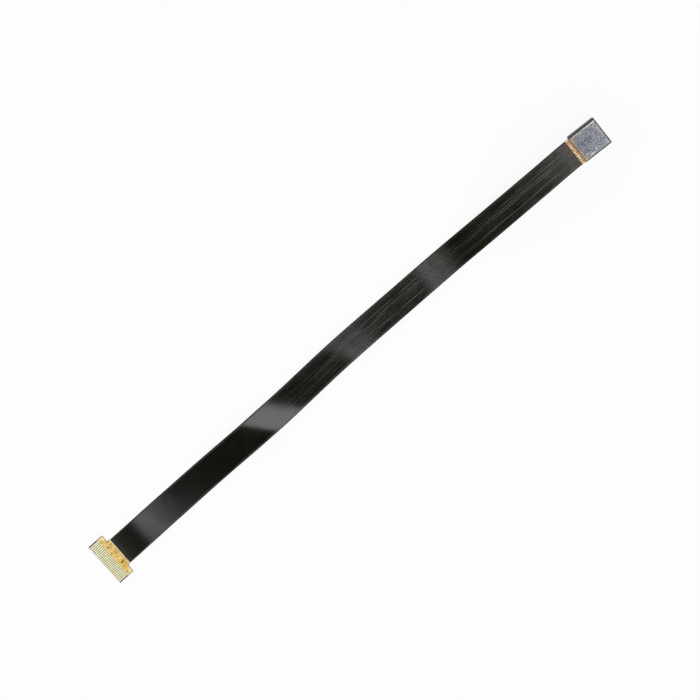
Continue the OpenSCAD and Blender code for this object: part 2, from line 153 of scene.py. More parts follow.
class NodeSheet:
    """The node tree of one material or of the world."""

    def __init__(self, owner: "bpy.types.Material | bpy.types.World") -> None:
        """Empties the owner's node tree.

        Args:
            owner: material or world that gets new nodes.
        """
        owner.use_nodes = True
        self.owner = owner
        self.tree = owner.node_tree
        self.tree.nodes.clear()

    @staticmethod
    def _find(sockets: Sequence[bpy.types.NodeSocket], key: "str | int") -> bpy.types.NodeSocket:
        """Finds a socket.

        Args:
            sockets: inputs or outputs of a node.
            key: its place, identifier or name.

        Returns:
            The socket.
        """
        if isinstance(key, int):
            return sockets[key]
        return next(s for s in sockets if key in (s.identifier, s.name))

    def node(
        self,
        kind: str,
        settings: dict | None = None,
        sockets: dict | None = None,
        out: "str | int" = 0,
    ) -> Signal:
        """Adds a node.

        Args:
            kind: type of the node.
            settings: its properties, set before its sockets.
            sockets: value or link of each input, by name, identifier or place.
            out: output to return.

        Returns:
            The output, ready for sums.
        """
        made = self.tree.nodes.new(kind)
        for name, value in (settings or {}).items():
            setattr(made, name, value)
        for key, value in (sockets or {}).items():
            socket = self._find(made.inputs, key)
            if isinstance(value, Signal):
                self.tree.links.new(value.socket, socket)
            elif isinstance(value, tuple) and socket.type == "RGBA":
                socket.default_value = (*value, 1)
            else:
                socket.default_value = value
        return Signal(self, self._find(made.outputs, out) if made.outputs else None)

    def place(self) -> Signal:
        """Place in the object's own space, in metres."""
        return self.node("ShaderNodeTexCoord", out="Object")

    def along(self) -> Signal:
        """Run and offset along the flex, in metres, from the piece's UV map."""
        return self.node("ShaderNodeUVMap", {"uv_map": FlexSweep.UV_NAME})

    def attribute(self, name: str) -> Signal:
        """Value of a piece's own attribute."""
        return self.node("ShaderNodeAttribute", {"attribute_name": name}, out="Fac")

    def axis(self, vector: Signal, name: str) -> Signal:
        """One component of a vector."""
        return self.node("ShaderNodeSeparateXYZ", None, {0: vector}, out=name)

    def plane(self, vector: Signal) -> tuple[Signal, Signal]:
        """X and Y components of a vector."""
        return self.axis(vector, "X"), self.axis(vector, "Y")

    def turned(self, vector: Signal, stretch: Sequence[float], turn: float = 0) -> Signal:
        """Turns a vector about Z and then stretches it.

        Args:
            vector: place to turn.
            stretch: scale along each axis.
            turn: angle in degrees.

        Returns:
            The place in the turned pattern.
        """
        rotation = (0, 0, math.radians(turn))
        spun = self.node("ShaderNodeMapping", None, {"Vector": vector, "Rotation": rotation})
        return self.node("ShaderNodeMapping", None, {"Vector": spun, "Scale": tuple(stretch)})

    def noise(self, vector: Signal, size: float, detail: float = 3, warp: float = 0) -> Signal:
        """Cloudy pattern from 0 to 1.

        Args:
            vector: where it is read.
            size: size of its patches, in metres.
            detail: octaves of finer pattern.
            warp: distortion.

        Returns:
            The pattern's value.
        """
        sockets = {"Vector": vector, "Scale": 1 / size, "Detail": detail, "Distortion": warp}
        return self.node("ShaderNodeTexNoise", None, sockets, out="Fac")

    def specks(self, vector: Signal, size: float) -> Signal:
        """Distance to the nearest of many scattered points, as a share of their spacing."""
        sockets = {"Vector": vector, "Scale": 1 / size}
        return self.node("ShaderNodeTexVoronoi", None, sockets, out="Distance")

    def band(self, value: Signal, low: float, high: float) -> Signal:
        """Smooth step from 0 at low to 1 at high; the step falls where low is the larger."""
        sockets = {"Value": value, "From Min": low, "From Max": high}
        return self.node("ShaderNodeMapRange", {"interpolation_type": "SMOOTHSTEP"}, sockets)

    def past(self, value: Signal, start: float, span: Span) -> Signal:
        """Smooth step from 0 to 1 between two ways past a start."""
        return self.band(value, start + span[0], start + span[1])

    def mix(
        self, share: "Signal | float", first: "Signal | Colour", second: "Signal | Colour"
    ) -> Signal:
        """Blend of two colours."""
        sockets = {"Factor_Float": share, "A_Color": first, "B_Color": second}
        return self.node("ShaderNodeMix", {"data_type": "RGBA"}, sockets, out="Result_Color")

    def coats(self, base: Signal, *coats: tuple[Signal, "Signal | Colour"]) -> Signal:
        """Lays coats over a colour.

        Args:
            base: the colour below.
            *coats: mask and colour of each coat, from the lowest up.

        Returns:
            The colour that shows.
        """
        for mask, colour in coats:
            base = self.mix(mask, base, colour)
        return base

    def bump(self, height: Signal, depth: float) -> Signal:
        """Normal of a surface that the height lifts by up to depth, in metres."""
        return self.node("ShaderNodeBump", None, {"Height": height, "Distance": depth})

    def principled(self, **values: "Signal | Colour | float") -> None:
        """Closes a material with a Principled shader.

        Args:
            **values: its inputs, by name with underscores for spaces.
        """
        sockets = {name.replace("_", " "): value for name, value in values.items()}
        shader = self.node("ShaderNodeBsdfPrincipled", None, sockets)
        self.node("ShaderNodeOutputMaterial", None, {"Surface": shader})


# --- Finishes ---


@dataclass(frozen=True)
class Finish:
    """A surface finish with the name of its material."""

    name: str

    def material(self) -> bpy.types.Material:
        """Makes the material once.

        Returns:
            The material, also where it was made before.
        """
        known = bpy.data.materials.get(self.name)
        if known:
            return known
        sheet = NodeSheet(bpy.data.materials.new(self.name))
        self.lay(sheet)
        return sheet.owner

    def lay(self, sheet: NodeSheet) -> None:
        """Lays the nodes of the material on its sheet."""
        raise NotImplementedError


@dataclass(frozen=True)
class Mottled(Finish):
    """Moulded plastic, glue, ceramic or tin: cloudy colour over a fine grain."""

    dark: Colour
    light: Colour
    patch: float
    grain: float
    grain_depth: float
    roughness: float
    roughness_spread: float = 0.12
    metallic: float = 0
    coat: float = 0
    specular: float = 0.5

    def lay(self, sheet: NodeSheet) -> None:
        """Lays the nodes of the material.

        Args:
            sheet: the material's node tree.
        """
        place = sheet.place()
        cloud = sheet.noise(place, self.patch, 4, 0.4)
        grain = sheet.noise(place, self.grain, 2)
        share = sheet.band(cloud * 0.75 + grain * 0.25, 0.3, 0.7)
        sheet.principled(
            Base_Color=sheet.mix(share, self.dark, self.light),
            Roughness=self.roughness + (cloud - 0.5) * self.roughness_spread * 2,
            Metallic=self.metallic,
            Coat_Weight=self.coat,
            Coat_Roughness=0.2,
            Specular_IOR_Level=self.specular,
            Normal=sheet.bump(grain, self.grain_depth),
        )


@dataclass(frozen=True)
class Mark:
    """A scratch or speck from one point to another, in metres."""

    start: tuple[float, float]
    end: tuple[float, float]
    width: float


def mark_mask(sheet: NodeSheet, x: Signal, y: Signal, mark: Mark) -> Signal:
    """Draws one mark with soft edges.

    Args:
        sheet: the material's node tree.
        x: place along the first axis of the mark's numbers.
        y: place along the second.
        mark: the mark.

    Returns:
        A mask of 1 on the mark and 0 away from it.
    """
    start = Vector(mark.start)
    run = Vector(mark.end) - start
    length = max(run.length, mark.width)
    along = run.normalized()
    middle = start + run / 2
    dx = x - middle.x
    dy = y - middle.y
    lengthwise = abs(dx * along.x + dy * along.y) / (length / 2 + mark.width)
    sideways = abs(dy * along.x - dx * along.y) / mark.width
    far = lengthwise * lengthwise + sideways * sideways
    return sheet.band(far, 1.3, 0.3)


def marked(sheet: NodeSheet, x: Signal, y: Signal, marks: Sequence[Mark]) -> Signal:
    """Draws several marks.

    Args:
        sheet: the material's node tree.
        x: place along the first axis of the marks' numbers.
        y: place along the second.
        marks: the marks, one or more.

    Returns:
        A mask of 1 on each mark.
    """
    first, *rest = (mark_mask(sheet, x, y, mark) for mark in marks)
    for other in rest:
        first = first.most(other)
    return first


@dataclass(frozen=True)
class ScuffedSteel(Finish):
    """Rolled steel with a blue-grey film, worn spots, fine scratches, and painted highlight and
    shade at its edges.
    """

    middle: Vector
    half_l: float
    half_w: float
    scratches: tuple[Mark, ...]
    specks: tuple[Mark, ...]
    smudges: tuple[Mark, ...]
    dark: Colour = (0.02, 0.026, 0.045)
    light: Colour = (0.41, 0.425, 0.47)
    lilac: Colour = (0.25, 0.24, 0.36)
    teal: Colour = (0.13, 0.24, 0.26)
    bright: Colour = (0.85, 0.86, 0.88)
    # Colour of the painted warm highlight at the end beside the strip
    warm: Colour = (0.62, 0.45, 0.33)
    # Colour of grime specks and of painted shade
    dirt_and_shade: Colour = (0.03, 0.03, 0.035)
    grey: Colour = (0.35, 0.35, 0.34)
    rim_reach: float = 0.3 * MM
    shade_reach: float = 0.18 * MM
    warm_reach: float = 1.1 * MM
    margin: float = 1.6 * MM
    margin_end: float = 0.3 * MM

    def _hairs(self, sheet: NodeSheet, place: Signal) -> Signal:
        """Masks the fine scratches, which cross in two directions.

        Args:
            sheet: the material's node tree.
            place: place on the plate.

        Returns:
            The mask.
        """
        combed = sheet.noise(sheet.turned(place, (1, 14, 1), 35), 1.3 * MM, 4)
        crossed = sheet.noise(sheet.turned(place, (1, 18, 1), -62), 1.1 * MM, 4)
        return sheet.band(combed, 0.62, 0.72) * 0.7 + sheet.band(crossed, 0.64, 0.74) * 0.5

    def _rolled(self, place: Signal, cloud: Signal, blotch: Signal, fine: Signal) -> Signal:
        """Colours the rolled face: grey patches, lilac and teal tints, dark veins and grain.

        Args:
            place: place on the plate.
            cloud: pattern of wide patches.
            blotch: pattern of small patches.
            fine: pattern of the grain.

        Returns:
            The colour.
        """
        sheet = place.sheet
        tint = sheet.noise(sheet.turned(place, (1, 1, 1), 50), 1.1 * MM, 3, 0.6)
        vein = abs(sheet.noise(place, 0.42 * MM, 2, 1.6) - 0.5)
        share = sheet.band(cloud * 0.25 + blotch * 0.75, 0.34, 0.65)
        return sheet.coats(
            sheet.mix(share, self.dark, self.light),
            (sheet.band(tint, 0.5, 0.68) * 0.55, self.lilac),
            (sheet.band(tint, 0.4, 0.3) * 0.5, self.teal),
            (sheet.band(vein, 0.05, 0) * sheet.band(cloud, 0.4, 0.6) * 0.45, self.dark),
            (sheet.band(fine, 0.5, 0.7) * 0.3, self.bright),
            (sheet.band(fine, 0.46, 0.3) * 0.45, self.dark),
        )

    def _rubbed_rim_and_highlight(self, off_x: Signal, off_y: Signal, blotch: Signal) -> Signal:
        """Masks the rim worn by rubbing, and a painted highlight along the side that faces the
        light.

        Args:
            off_x: place from the plate's middle along its length.
            off_y: place from the middle across it.
            blotch: pattern of small patches.

        Returns:
            The mask.
        """
        band = off_x.sheet.band
        inner_l = self.half_l - self.rim_reach
        inner_w = self.half_w - self.rim_reach
        rim = band(abs(off_x), inner_l, self.half_l).most(band(abs(off_y), inner_w, self.half_w))
        # Painted highlight along the side that faces the light
        lit = band(off_y, inner_w, self.half_w - self.rim_reach / 2)
        lit_share = 0.5 + band(blotch, 0.3, 0.5) * 0.3 + band(off_x, -MM, 3 * MM) * 0.2
        return (rim * band(blotch, 0.38, 0.58) * 0.7).most(lit * lit_share)

    def _shaded(self, off_x: Signal, off_y: Signal) -> Signal:
        """Masks the dark line along the two sides that face away from the light.

        Args:
            off_x: place from the plate's middle along its length.
            off_y: place from the middle across it.

        Returns:
            The mask.
        """
        band = off_x.sheet.band
        far_end = band(off_x, self.half_l - self.shade_reach, self.half_l - self.shade_reach / 2)
        near_side = band(off_y, self.shade_reach - self.half_w, self.shade_reach / 2 - self.half_w)
        return far_end.most(near_side)

    def lay(self, sheet: NodeSheet) -> None:
        """Lays the nodes of the material.

        Args:
            sheet: the material's node tree.
        """
        place = sheet.place()
        x, y = sheet.plane(place)
        off_x = x - self.middle.x
        off_y = y - self.middle.y
        cloud = sheet.noise(place, 1.6 * MM, 5, 0.8)
        blotch = sheet.noise(place, 0.3 * MM, 2, 0.5)
        fine = sheet.noise(place, 0.09 * MM, 3)
        hairs = self._hairs(sheet, place)
        reach = (abs(off_x) - self.half_l).most(abs(off_y) - self.half_w)
        outer = sheet.band(reach + (cloud - 0.5) * 2 * MM, -self.margin, -self.margin_end)
        smudge = marked(sheet, x, y, self.smudges)
        rubbed_and_highlit = self._rubbed_rim_and_highlight(off_x, off_y, blotch)
        # Painted warm highlight along the plate's end beside the strip
        glow = sheet.band(off_x, self.warm_reach - self.half_l, -self.half_l)
        gouged = marked(sheet, x, y, self.scratches) * (0.5 + sheet.band(fine, 0.38, 0.56) * 0.5)
        # Dark specks: grime, and one painted shadow beside a scratch
        dirt_and_shade = marked(sheet, x, y, self.specks)
        steel = sheet.coats(
            self._rolled(place, cloud, blotch, fine),
            (hairs * 0.4, self.bright),
            (outer * (0.4 + sheet.band(blotch, 0.35, 0.6) * 0.35), self.grey),
            (smudge * sheet.band(blotch, 0.7, 0.35) * 0.55, self.dark),
            # Rim worn by rubbing, with painted highlight along the lit side
            (rubbed_and_highlit, self.bright),
            # Painted shade along the two sides that face away from the light
            (self._shaded(off_x, off_y) * 0.95, self.dirt_and_shade),
            (glow * sheet.band(cloud * 0.6 + blotch * 0.4, 0.4, 0.52) * 0.9, self.warm),
            (gouged, self.bright),
            (dirt_and_shade * 0.9, self.dirt_and_shade),
        )
        height = blotch * 0.5 + fine * 0.3 - hairs * 0.6 - gouged
        sheet.principled(
            Base_Color=steel,
            Metallic=0.85 - dirt_and_shade * 0.7,
            Roughness=0.42 + cloud * 0.12 - rubbed_and_highlit * 0.1 - gouged * 0.1,
            Normal=sheet.bump(height, 0.006 * MM),
        )


@dataclass(frozen=True)
class ShieldFilm(Finish):
    """Satin black film: olive clouds, and pale lines where the traces press through: rubbing wear
    and painted highlight.
    """

    half_w: float
    widening: float
    last: float
    black: Colour = (0.0044, 0.0045, 0.0032)
    olive: Colour = (0.0085, 0.0082, 0.0032)
    plum: Colour = (0.012, 0.006, 0.009)
    rust: Colour = (0.05, 0.016, 0.002)
    # Pale lines over the traces: partly rubbing wear, partly painted highlight of the ridges
    rubbed_and_highlit: Colour = (0.095, 0.095, 0.081)
    hazy: Colour = (0.024, 0.0225, 0.0155)
    roughness: float = 0.152
    outline: float = 0.3 * MM
    waviness: float = 5

    # Runs from the head at which a zone fades in or out
    HAZE: ClassVar[Span] = (27 * MM, 9 * MM)
    STAIN: ClassVar[Span] = (2.4 * MM, 0.1 * MM)
    NEAR_HEAD: ClassVar[Span] = (125 * MM, 30 * MM)
    SMOOTH_FROM: ClassVar[Span] = (24 * MM, 34 * MM)
    SMOOTH_TO: ClassVar[Span] = (128 * MM, 120 * MM)
    CALM_FROM: ClassVar[Span] = (28 * MM, 38 * MM)
    CALM_TO: ClassVar[Span] = (56 * MM, 46 * MM)

    # The same, measured from the tab
    BY_TAB: ClassVar[Span] = (-6 * MM, -2 * MM)
    FAR_END: ClassVar[Span] = (-28 * MM, -12 * MM)

    def _lines(self, along: Signal, run: Signal, streaky: Signal) -> Signal:
        """Masks the broken pale lines over the traces, rubbing wear with painted highlight, which
        are faint in the calm zone.

        Args:
            along: run and offset on the flex.
            run: the run alone.
            streaky: mask of the streaks that lie among them.

        Returns:
            The mask.
        """
        sheet = along.sheet
        broken = sheet.noise(sheet.turned(along, (0.05, 1, 1)), 0.4 * MM, 2)
        calm = sheet.band(run, *self.CALM_FROM) * sheet.band(run, *self.CALM_TO)
        lines = sheet.attribute(FlexSweep.LINE_NAME) * sheet.band(broken, 0.36, 0.54)
        return lines.most(streaky) * (1 - calm * 0.65)

    def lay(self, sheet: NodeSheet) -> None:
        """Lays the nodes of the material.

        Args:
            sheet: the material's node tree.
        """
        along = sheet.along()
        run, across = sheet.plane(along)
        cloud = sheet.noise(along, 5 * MM, 3, 0.5)
        tint = sheet.noise(along, 1.8 * MM, 2)
        pebble = sheet.noise(along, 0.14 * MM, 2)
        streaks = sheet.noise(sheet.turned(along, (0.03, 1, 1)), 0.2 * MM, 2)
        haze = sheet.band(run, *self.HAZE)
        near_head = sheet.band(run, *self.NEAR_HEAD)
        by_tab = sheet.past(run, self.last, self.BY_TAB)
        far_end = sheet.past(run, self.last, self.FAR_END)
        smooth = sheet.band(run, *self.SMOOTH_FROM) * sheet.band(run, *self.SMOOTH_TO)
        stained = sheet.band(run, *self.STAIN) * sheet.band(cloud * 0.4 + tint * 0.6, 0.4, 0.56)
        streaky = sheet.band(streaks, 0.58, 0.7) * (near_head * 0.2 + haze * 0.5)
        lines = self._lines(along, run, streaky)
        inset = run * self.widening + self.half_w - abs(across)
        outline = sheet.band(inset, self.outline, self.outline / 2)
        olive_share = sheet.band(cloud, 0.35, 0.7) * (0.25 + near_head * 0.75)
        film = sheet.coats(
            sheet.mix(olive_share, self.black, self.olive),
            (sheet.band(tint, 0.58, 0.7) * near_head * 0.6, self.plum),
            (haze.most(by_tab) * sheet.band(pebble, 0.3, 0.7) * 0.8, self.hazy),
            (stained, self.rust),
            # Pale lines: rubbing wear and painted highlight
            (lines, self.rubbed_and_highlit),
            (outline, self.black),
        )
        roughness = self.roughness + (cloud - 0.5) * 0.05
        roughness = roughness + haze * 0.09 + far_end * 0.035 - smooth * 0.03
        height = pebble * (0.25 + haze * 0.6) + streaks * near_head * 0.5 + cloud * self.waviness
        sheet.principled(
            Base_Color=film,
            Roughness=roughness + lines * 0.1 + outline * 0.35,
            Normal=sheet.bump(height, 0.0016 * MM),
        )


@dataclass(frozen=True)
class FlexCore(Finish):
    """Flex between its films: black under the plate, brown on the strip and amber on the tab."""

    strip_l: float
    neck_half_w: float
    last: float
    shoulder: float
    contacts_from: float
    tab_half_w: float
    stains: tuple[Mark, ...]
    black: Colour = (0.004, 0.004, 0.005)
    brown: Colour = (0.56, 0.36, 0.17)
    umber: Colour = (0.14, 0.06, 0.016)
    gold: Colour = (0.97, 0.65, 0.09)
    peach: Colour = (0.98, 0.74, 0.36)
    olive: Colour = (0.42, 0.28, 0.012)
    stain: Colour = (0.06, 0.025, 0.002)
    cream: Colour = (0.95, 0.86, 0.6)
    gap: Colour = (0.035, 0.028, 0.004)
    outline: Colour = (0.012, 0.011, 0.008)
    line_w: float = 0.17 * MM
    blur: float = 0.05 * MM
    cream_rim: Span = (0.42 * MM, 0.26 * MM)
    film_shade: Span = (-0.14 * MM, -0.04 * MM)
    plate_shade: Span = (-0.02 * MM, 0)
    amber_start: Span = (-MM, -0.9 * MM)

    def _line(self, value: Signal, at: float, way: int) -> Signal:
        """Mask of a line along one edge; way is 1 where the flex lies below the edge, or -1."""
        return value.sheet.band(value, at - way * self.line_w, at - way * self.line_w * 0.6)

    def _painted_edge_shade(self, run: Signal, across: Signal) -> Signal:
        """Masks the painted shade line round the tab, which leaves its contact edge free.

        Args:
            run: run along the flex.
            across: offset from its centreline.

        Returns:
            The mask.
        """
        side = abs(across)
        ears = self._line(side, self.tab_half_w, 1)
        neck = self._line(side, self.neck_half_w, 1) * self._line(run, self.shoulder, -1)
        return ears.most(neck) * run.sheet.band(run, self.last, self.last + self.line_w)

    def _tab(self, along: Signal, cloud: Signal, blot: Signal) -> Signal:
        """Colours the tab: amber with olive sweeps, cream rims, stains and dark gaps.

        Args:
            along: run and offset on the flex.
            cloud: pattern of wide patches.
            blot: pattern of smaller patches.

        Returns:
            The colour.
        """
        sheet = along.sheet
        run, across = sheet.plane(along)
        half_w = self.tab_half_w
        sweep = sheet.noise(sheet.turned(along, (1, 2.6, 1), 38), 1.3 * MM, 3, 0.5)
        ears = sheet.band(abs(across) + (cloud - 0.5) * 2 * MM, half_w - 2 * MM, half_w - MM)
        stained = marked(sheet, run - self.last + cloud * 0.4 * MM, across, self.stains)
        return sheet.coats(
            sheet.mix(sheet.band(cloud, 0.44, 0.62), self.gold, self.peach),
            (sheet.band(sweep, 0.54, 0.66) * 0.8, self.olive),
            (sheet.band(blot, 0.6, 0.7) * 0.4, self.stain),
            (ears * 0.55, self.cream),
            (sheet.past(run, self.last, self.cream_rim), self.cream),
            (stained * sheet.band(blot, 0.25, 0.5), self.stain),
            (sheet.past(run, self.contacts_from, (-self.blur, self.blur)), self.gap),
            # Painted shade along the tab's edges
            (self._painted_edge_shade(run, across), self.outline),
        )

    def lay(self, sheet: NodeSheet) -> None:
        """Lays the nodes of the material.

        Args:
            sheet: the material's node tree.
        """
        along = sheet.along()
        run = sheet.axis(along, "X")
        cloud = sheet.noise(along, 1.5 * MM, 4, 0.8)
        blot = sheet.noise(along, 0.8 * MM, 3, 1)
        fine = sheet.noise(along, 0.12 * MM, 2)
        strip = sheet.mix(sheet.band(blot, 0.4, 0.6), self.brown, self.umber)
        strip = sheet.mix(sheet.band(run, *self.film_shade), strip, self.umber)
        colour = sheet.mix(sheet.past(run, -self.strip_l, self.plate_shade), self.black, strip)
        amber = self._tab(along, cloud, blot)
        colour = sheet.mix(sheet.past(run, self.last, self.amber_start), colour, amber)
        sheet.principled(
            Base_Color=colour,
            Roughness=0.34 + (fine - 0.5) * 0.2,
            Coat_Weight=0.3,
            Coat_Roughness=0.15,
            Normal=sheet.bump(fine + cloud, 0.004 * MM),
        )


@dataclass(frozen=True)
class StripMetal(Finish):
    """Traces on the strip: cream plating that turns brown toward the plate, with painted shadow
    along the film's edge.
    """

    film_x: float
    cream: Colour = (0.92, 0.78, 0.5)
    tan: Colour = (0.55, 0.37, 0.16)
    rose: Colour = (0.78, 0.4, 0.17)
    brown: Colour = (0.38, 0.22, 0.09)
    plated: float = 0.72 * MM
    blur: float = 0.1 * MM
    film_edge_shadow: Span = (0.12 * MM, 0.04 * MM)

    def lay(self, sheet: NodeSheet) -> None:
        """Lays the nodes of the material.

        Args:
            sheet: the material's node tree.
        """
        place = sheet.place()
        x = sheet.axis(place, "X")
        blot = sheet.noise(place, 0.6 * MM, 3, 0.6)
        grain = sheet.noise(place, 0.07 * MM, 2)
        sweep = sheet.noise(place, 2.4 * MM, 2)
        # Browner toward the plate
        toward_plate = sheet.past(x, self.film_x + self.plated, (0, self.blur))
        metal = sheet.coats(
            sheet.mix(sheet.band(blot * 0.5 + sweep * 0.5, 0.42, 0.56), self.tan, self.cream),
            (sheet.band(sweep, 0.5, 0.6) * sheet.band(blot, 0.55, 0.45), self.rose),
            (toward_plate, self.brown),
            # Painted shadow of the film's edge
            (sheet.past(x, self.film_x, self.film_edge_shadow), self.brown),
        )
        sheet.principled(
            Base_Color=metal,
            Metallic=0.4 - toward_plate * 0.3,
            Roughness=0.34 + (grain - 0.5) * 0.2,
            Normal=sheet.bump(grain + blot, 0.003 * MM),
        )


@dataclass(frozen=True)
class PlatedMetal(Finish):
    """Plated or etched metal with rubbing marks across the contact edge and dull stains."""

    clean: Colour
    dull: Colour
    roughness: float
    metallic: float = 0.85
    heading: float = 0

    def lay(self, sheet: NodeSheet) -> None:
        """Lays the nodes of the material.

        Args:
            sheet: the material's node tree.
        """
        place = sheet.place()
        cloud = sheet.noise(place, 0.9 * MM, 4, 0.7)
        rubbing = sheet.noise(sheet.turned(place, (1, 16, 1), -self.heading), 0.9 * MM, 4)
        fine = sheet.noise(place, 0.06 * MM, 2)
        share = sheet.band(cloud * 0.7 + rubbing * 0.3, 0.4, 0.62)
        sheet.principled(
            Base_Color=sheet.mix(share, self.dull, self.clean),
            Metallic=self.metallic,
            Roughness=self.roughness + (rubbing - 0.5) * 0.3,
            Normal=sheet.bump(rubbing + fine * 0.5, 0.004 * MM),
        )


@dataclass(frozen=True)
class TurnedPlastic(Finish):
    """Black moulded barrel with fine tool rings round the lens axis."""

    dark: Colour = (0.018, 0.018, 0.02)
    light: Colour = (0.045, 0.045, 0.048)
    ring_pitch: float = 0.07 * MM

    def lay(self, sheet: NodeSheet) -> None:
        """Lays the nodes of the material.

        Args:
            sheet: the material's node tree.
        """
        place = sheet.place()
        x, y = sheet.plane(place)
        radius = (x * x + y * y) ** 0.5
        rings = (radius * (2 * math.pi / self.ring_pitch)).sine()
        cloud = sheet.noise(place, 0.8 * MM, 3)
        grain = sheet.noise(place, 0.05 * MM, 2)
        sheet.principled(
            Base_Color=sheet.mix(sheet.band(cloud, 0.35, 0.7), self.dark, self.light),
            Roughness=0.42 + (cloud - 0.5) * 0.2,
            Normal=sheet.bump(rings * 0.4 + grain, 0.003 * MM),
        )


@dataclass(frozen=True)
class ClearOptic(Finish):
    """Clear lens or filter with a coloured coating, dust and faint swirl marks."""

    tint: Colour
    coating: Colour
    index: float

    def lay(self, sheet: NodeSheet) -> None:
        """Lays the nodes of the material.

        Args:
            sheet: the material's node tree.
        """
        place = sheet.place()
        dust = sheet.band(sheet.specks(place, 0.35 * MM), 0.12, 0.05)
        swirl = sheet.noise(place, 0.5 * MM, 3, 2)
        sheet.principled(
            Base_Color=sheet.mix(dust * 0.4, self.tint, (0.8, 0.8, 0.8)),
            Roughness=0.03 + swirl * 0.04 + dust * 0.3,
            IOR=self.index,
            Transmission_Weight=1.0,
            Coat_Weight=0.6,
            Coat_Roughness=0.03,
            Coat_Tint=self.coating,
        )


@dataclass(frozen=True)
class SensorSilicon(Finish):
    """Image sensor: an iridescent field of light cells inside a dark circuit border."""

    half_l: float
    half_w: float
    border: Colour = (0.05, 0.045, 0.04)
    green: Colour = (0.05, 0.16, 0.11)
    magenta: Colour = (0.19, 0.06, 0.16)
    cell: float = 0.04 * MM
    margin: float = 0.55 * MM

    def _inside(self, side: Signal, half: float) -> Signal:
        """Mask of what lies inside the border, by the way from the middle along one axis."""
        return side.sheet.band(side, half - self.margin, half - self.margin * 1.1)

    def lay(self, sheet: NodeSheet) -> None:
        """Lays the nodes of the material.

        Args:
            sheet: the material's node tree.
        """
        place = sheet.place()
        x, y = sheet.plane(place)
        wave = 2 * math.pi / self.cell
        rows = (x * wave).sine() * (y * wave).sine()
        sheen = sheet.band(sheet.noise(place, 2.4 * MM, 1), 0.35, 0.65)
        inside = self._inside(abs(x), self.half_l) * self._inside(abs(y), self.half_w)
        field = sheet.mix(sheen, self.green, self.magenta)
        sheet.principled(
            Base_Color=sheet.mix(inside, self.border, field),
            Metallic=0.6,
            Roughness=0.22 + rows * 0.06,
            Normal=sheet.bump(rows, 0.001 * MM),
        )


@dataclass(frozen=True)
class LaminateBoard(Finish):
    """Black coated board whose cut edges show glass cloth layers."""

    low: float
    high: float
    coat_black: Colour = (0.012, 0.013, 0.015)
    cloth: Colour = (0.085, 0.075, 0.05)
    layers: int = 4

    def lay(self, sheet: NodeSheet) -> None:
        """Lays the nodes of the material.

        Args:
            sheet: the material's node tree.
        """
        place = sheet.place()
        z = sheet.axis(place, "Z")
        depth = self.high - self.low
        strata = ((z - self.low) * (2 * math.pi / (depth / self.layers))).sine()
        skin = abs(z - (self.low + self.high) / 2) / (depth / 2)
        inner = sheet.band(skin, 0.9, 0.75)
        weave = sheet.noise(place, 0.12 * MM, 3)
        share = inner * sheet.band(strata * 0.3 + weave, 0.35, 0.8)
        sheet.principled(
            Base_Color=sheet.mix(share * 0.7, self.coat_black, self.cloth),
            Roughness=0.45 + inner * 0.25 + (weave - 0.5) * 0.1,
            Normal=sheet.bump(weave + strata * inner * 0.3, 0.004 * MM),
        )


# --- Mesh helpers ---


def dress(obj: bpy.types.Object, finish: Finish) -> None:
    """Gives an object one finish.

    Args:
        obj: piece or CAD node.
        finish: what it is made of.
    """
    if not obj.material_slots:
        obj.data.materials.append(None)
    for slot in obj.material_slots:
        slot.material = finish.material()


def piece_from(bm: bmesh.types.BMesh, name: str, crease_deg: float = 32) -> bpy.types.Object:
    """Turns a bmesh into a piece with smooth faces and sharp creases.

    Args:
        bm: the shape, in metres in the shared frame; it is freed.
        name: name of the piece.
        crease_deg: angle past which an edge stays sharp.

    Returns:
        The piece, linked to the scene.
    """
    bmesh.ops.recalc_face_normals(bm, faces=bm.faces)
    limit = math.radians(crease_deg)
    for face in bm.faces:
        face.smooth = True
    for edge in bm.edges:
        edge.smooth = len(edge.link_faces) == 2 and edge.calc_face_angle(0) < limit
    mesh = bpy.data.meshes.new(name)
    bm.to_mesh(mesh)
    bm.free()
    obj = bpy.data.objects.new(name, mesh)
    bpy.context.scene.collection.objects.link(obj)
    log.info("%s, %d faces", name, len(mesh.polygons))
    return obj


def smoothstep(value: float) -> float:
    """Smooth rise from 0 at 0 to 1 at 1."""
    value = min(max(value, 0.0), 1.0)
    return value * value * (3 - 2 * value)


def quarter(
    run: float, half: float, radius: float, first_deg: float, last_deg: float
) -> list[tuple[float, float]]:
    """Stations along a quarter circle of the flex's outline.

    Args:
        run: run of the circle's middle.
        half: half width at its middle.
        radius: its radius.
        first_deg: angle at which it starts.
        last_deg: angle at which it ends.

    Returns:
        The run and the half width of each station.
    """
    step = math.radians(last_deg - first_deg) / QUARTER_STEPS
    angles = [math.radians(first_deg) + step * i for i in range(QUARTER_STEPS + 1)]
    return [(run + radius * math.cos(a), half + radius * math.sin(a)) for a in angles]


# --- Flex circuit ---


@dataclass(frozen=True)
class Station:
    """Frame of the flex at one run: its middle, three directions and the slant of its bend."""

    run: float
    middle: Vector
    ahead: Vector
    side: Vector
    up: Vector
    slant: float


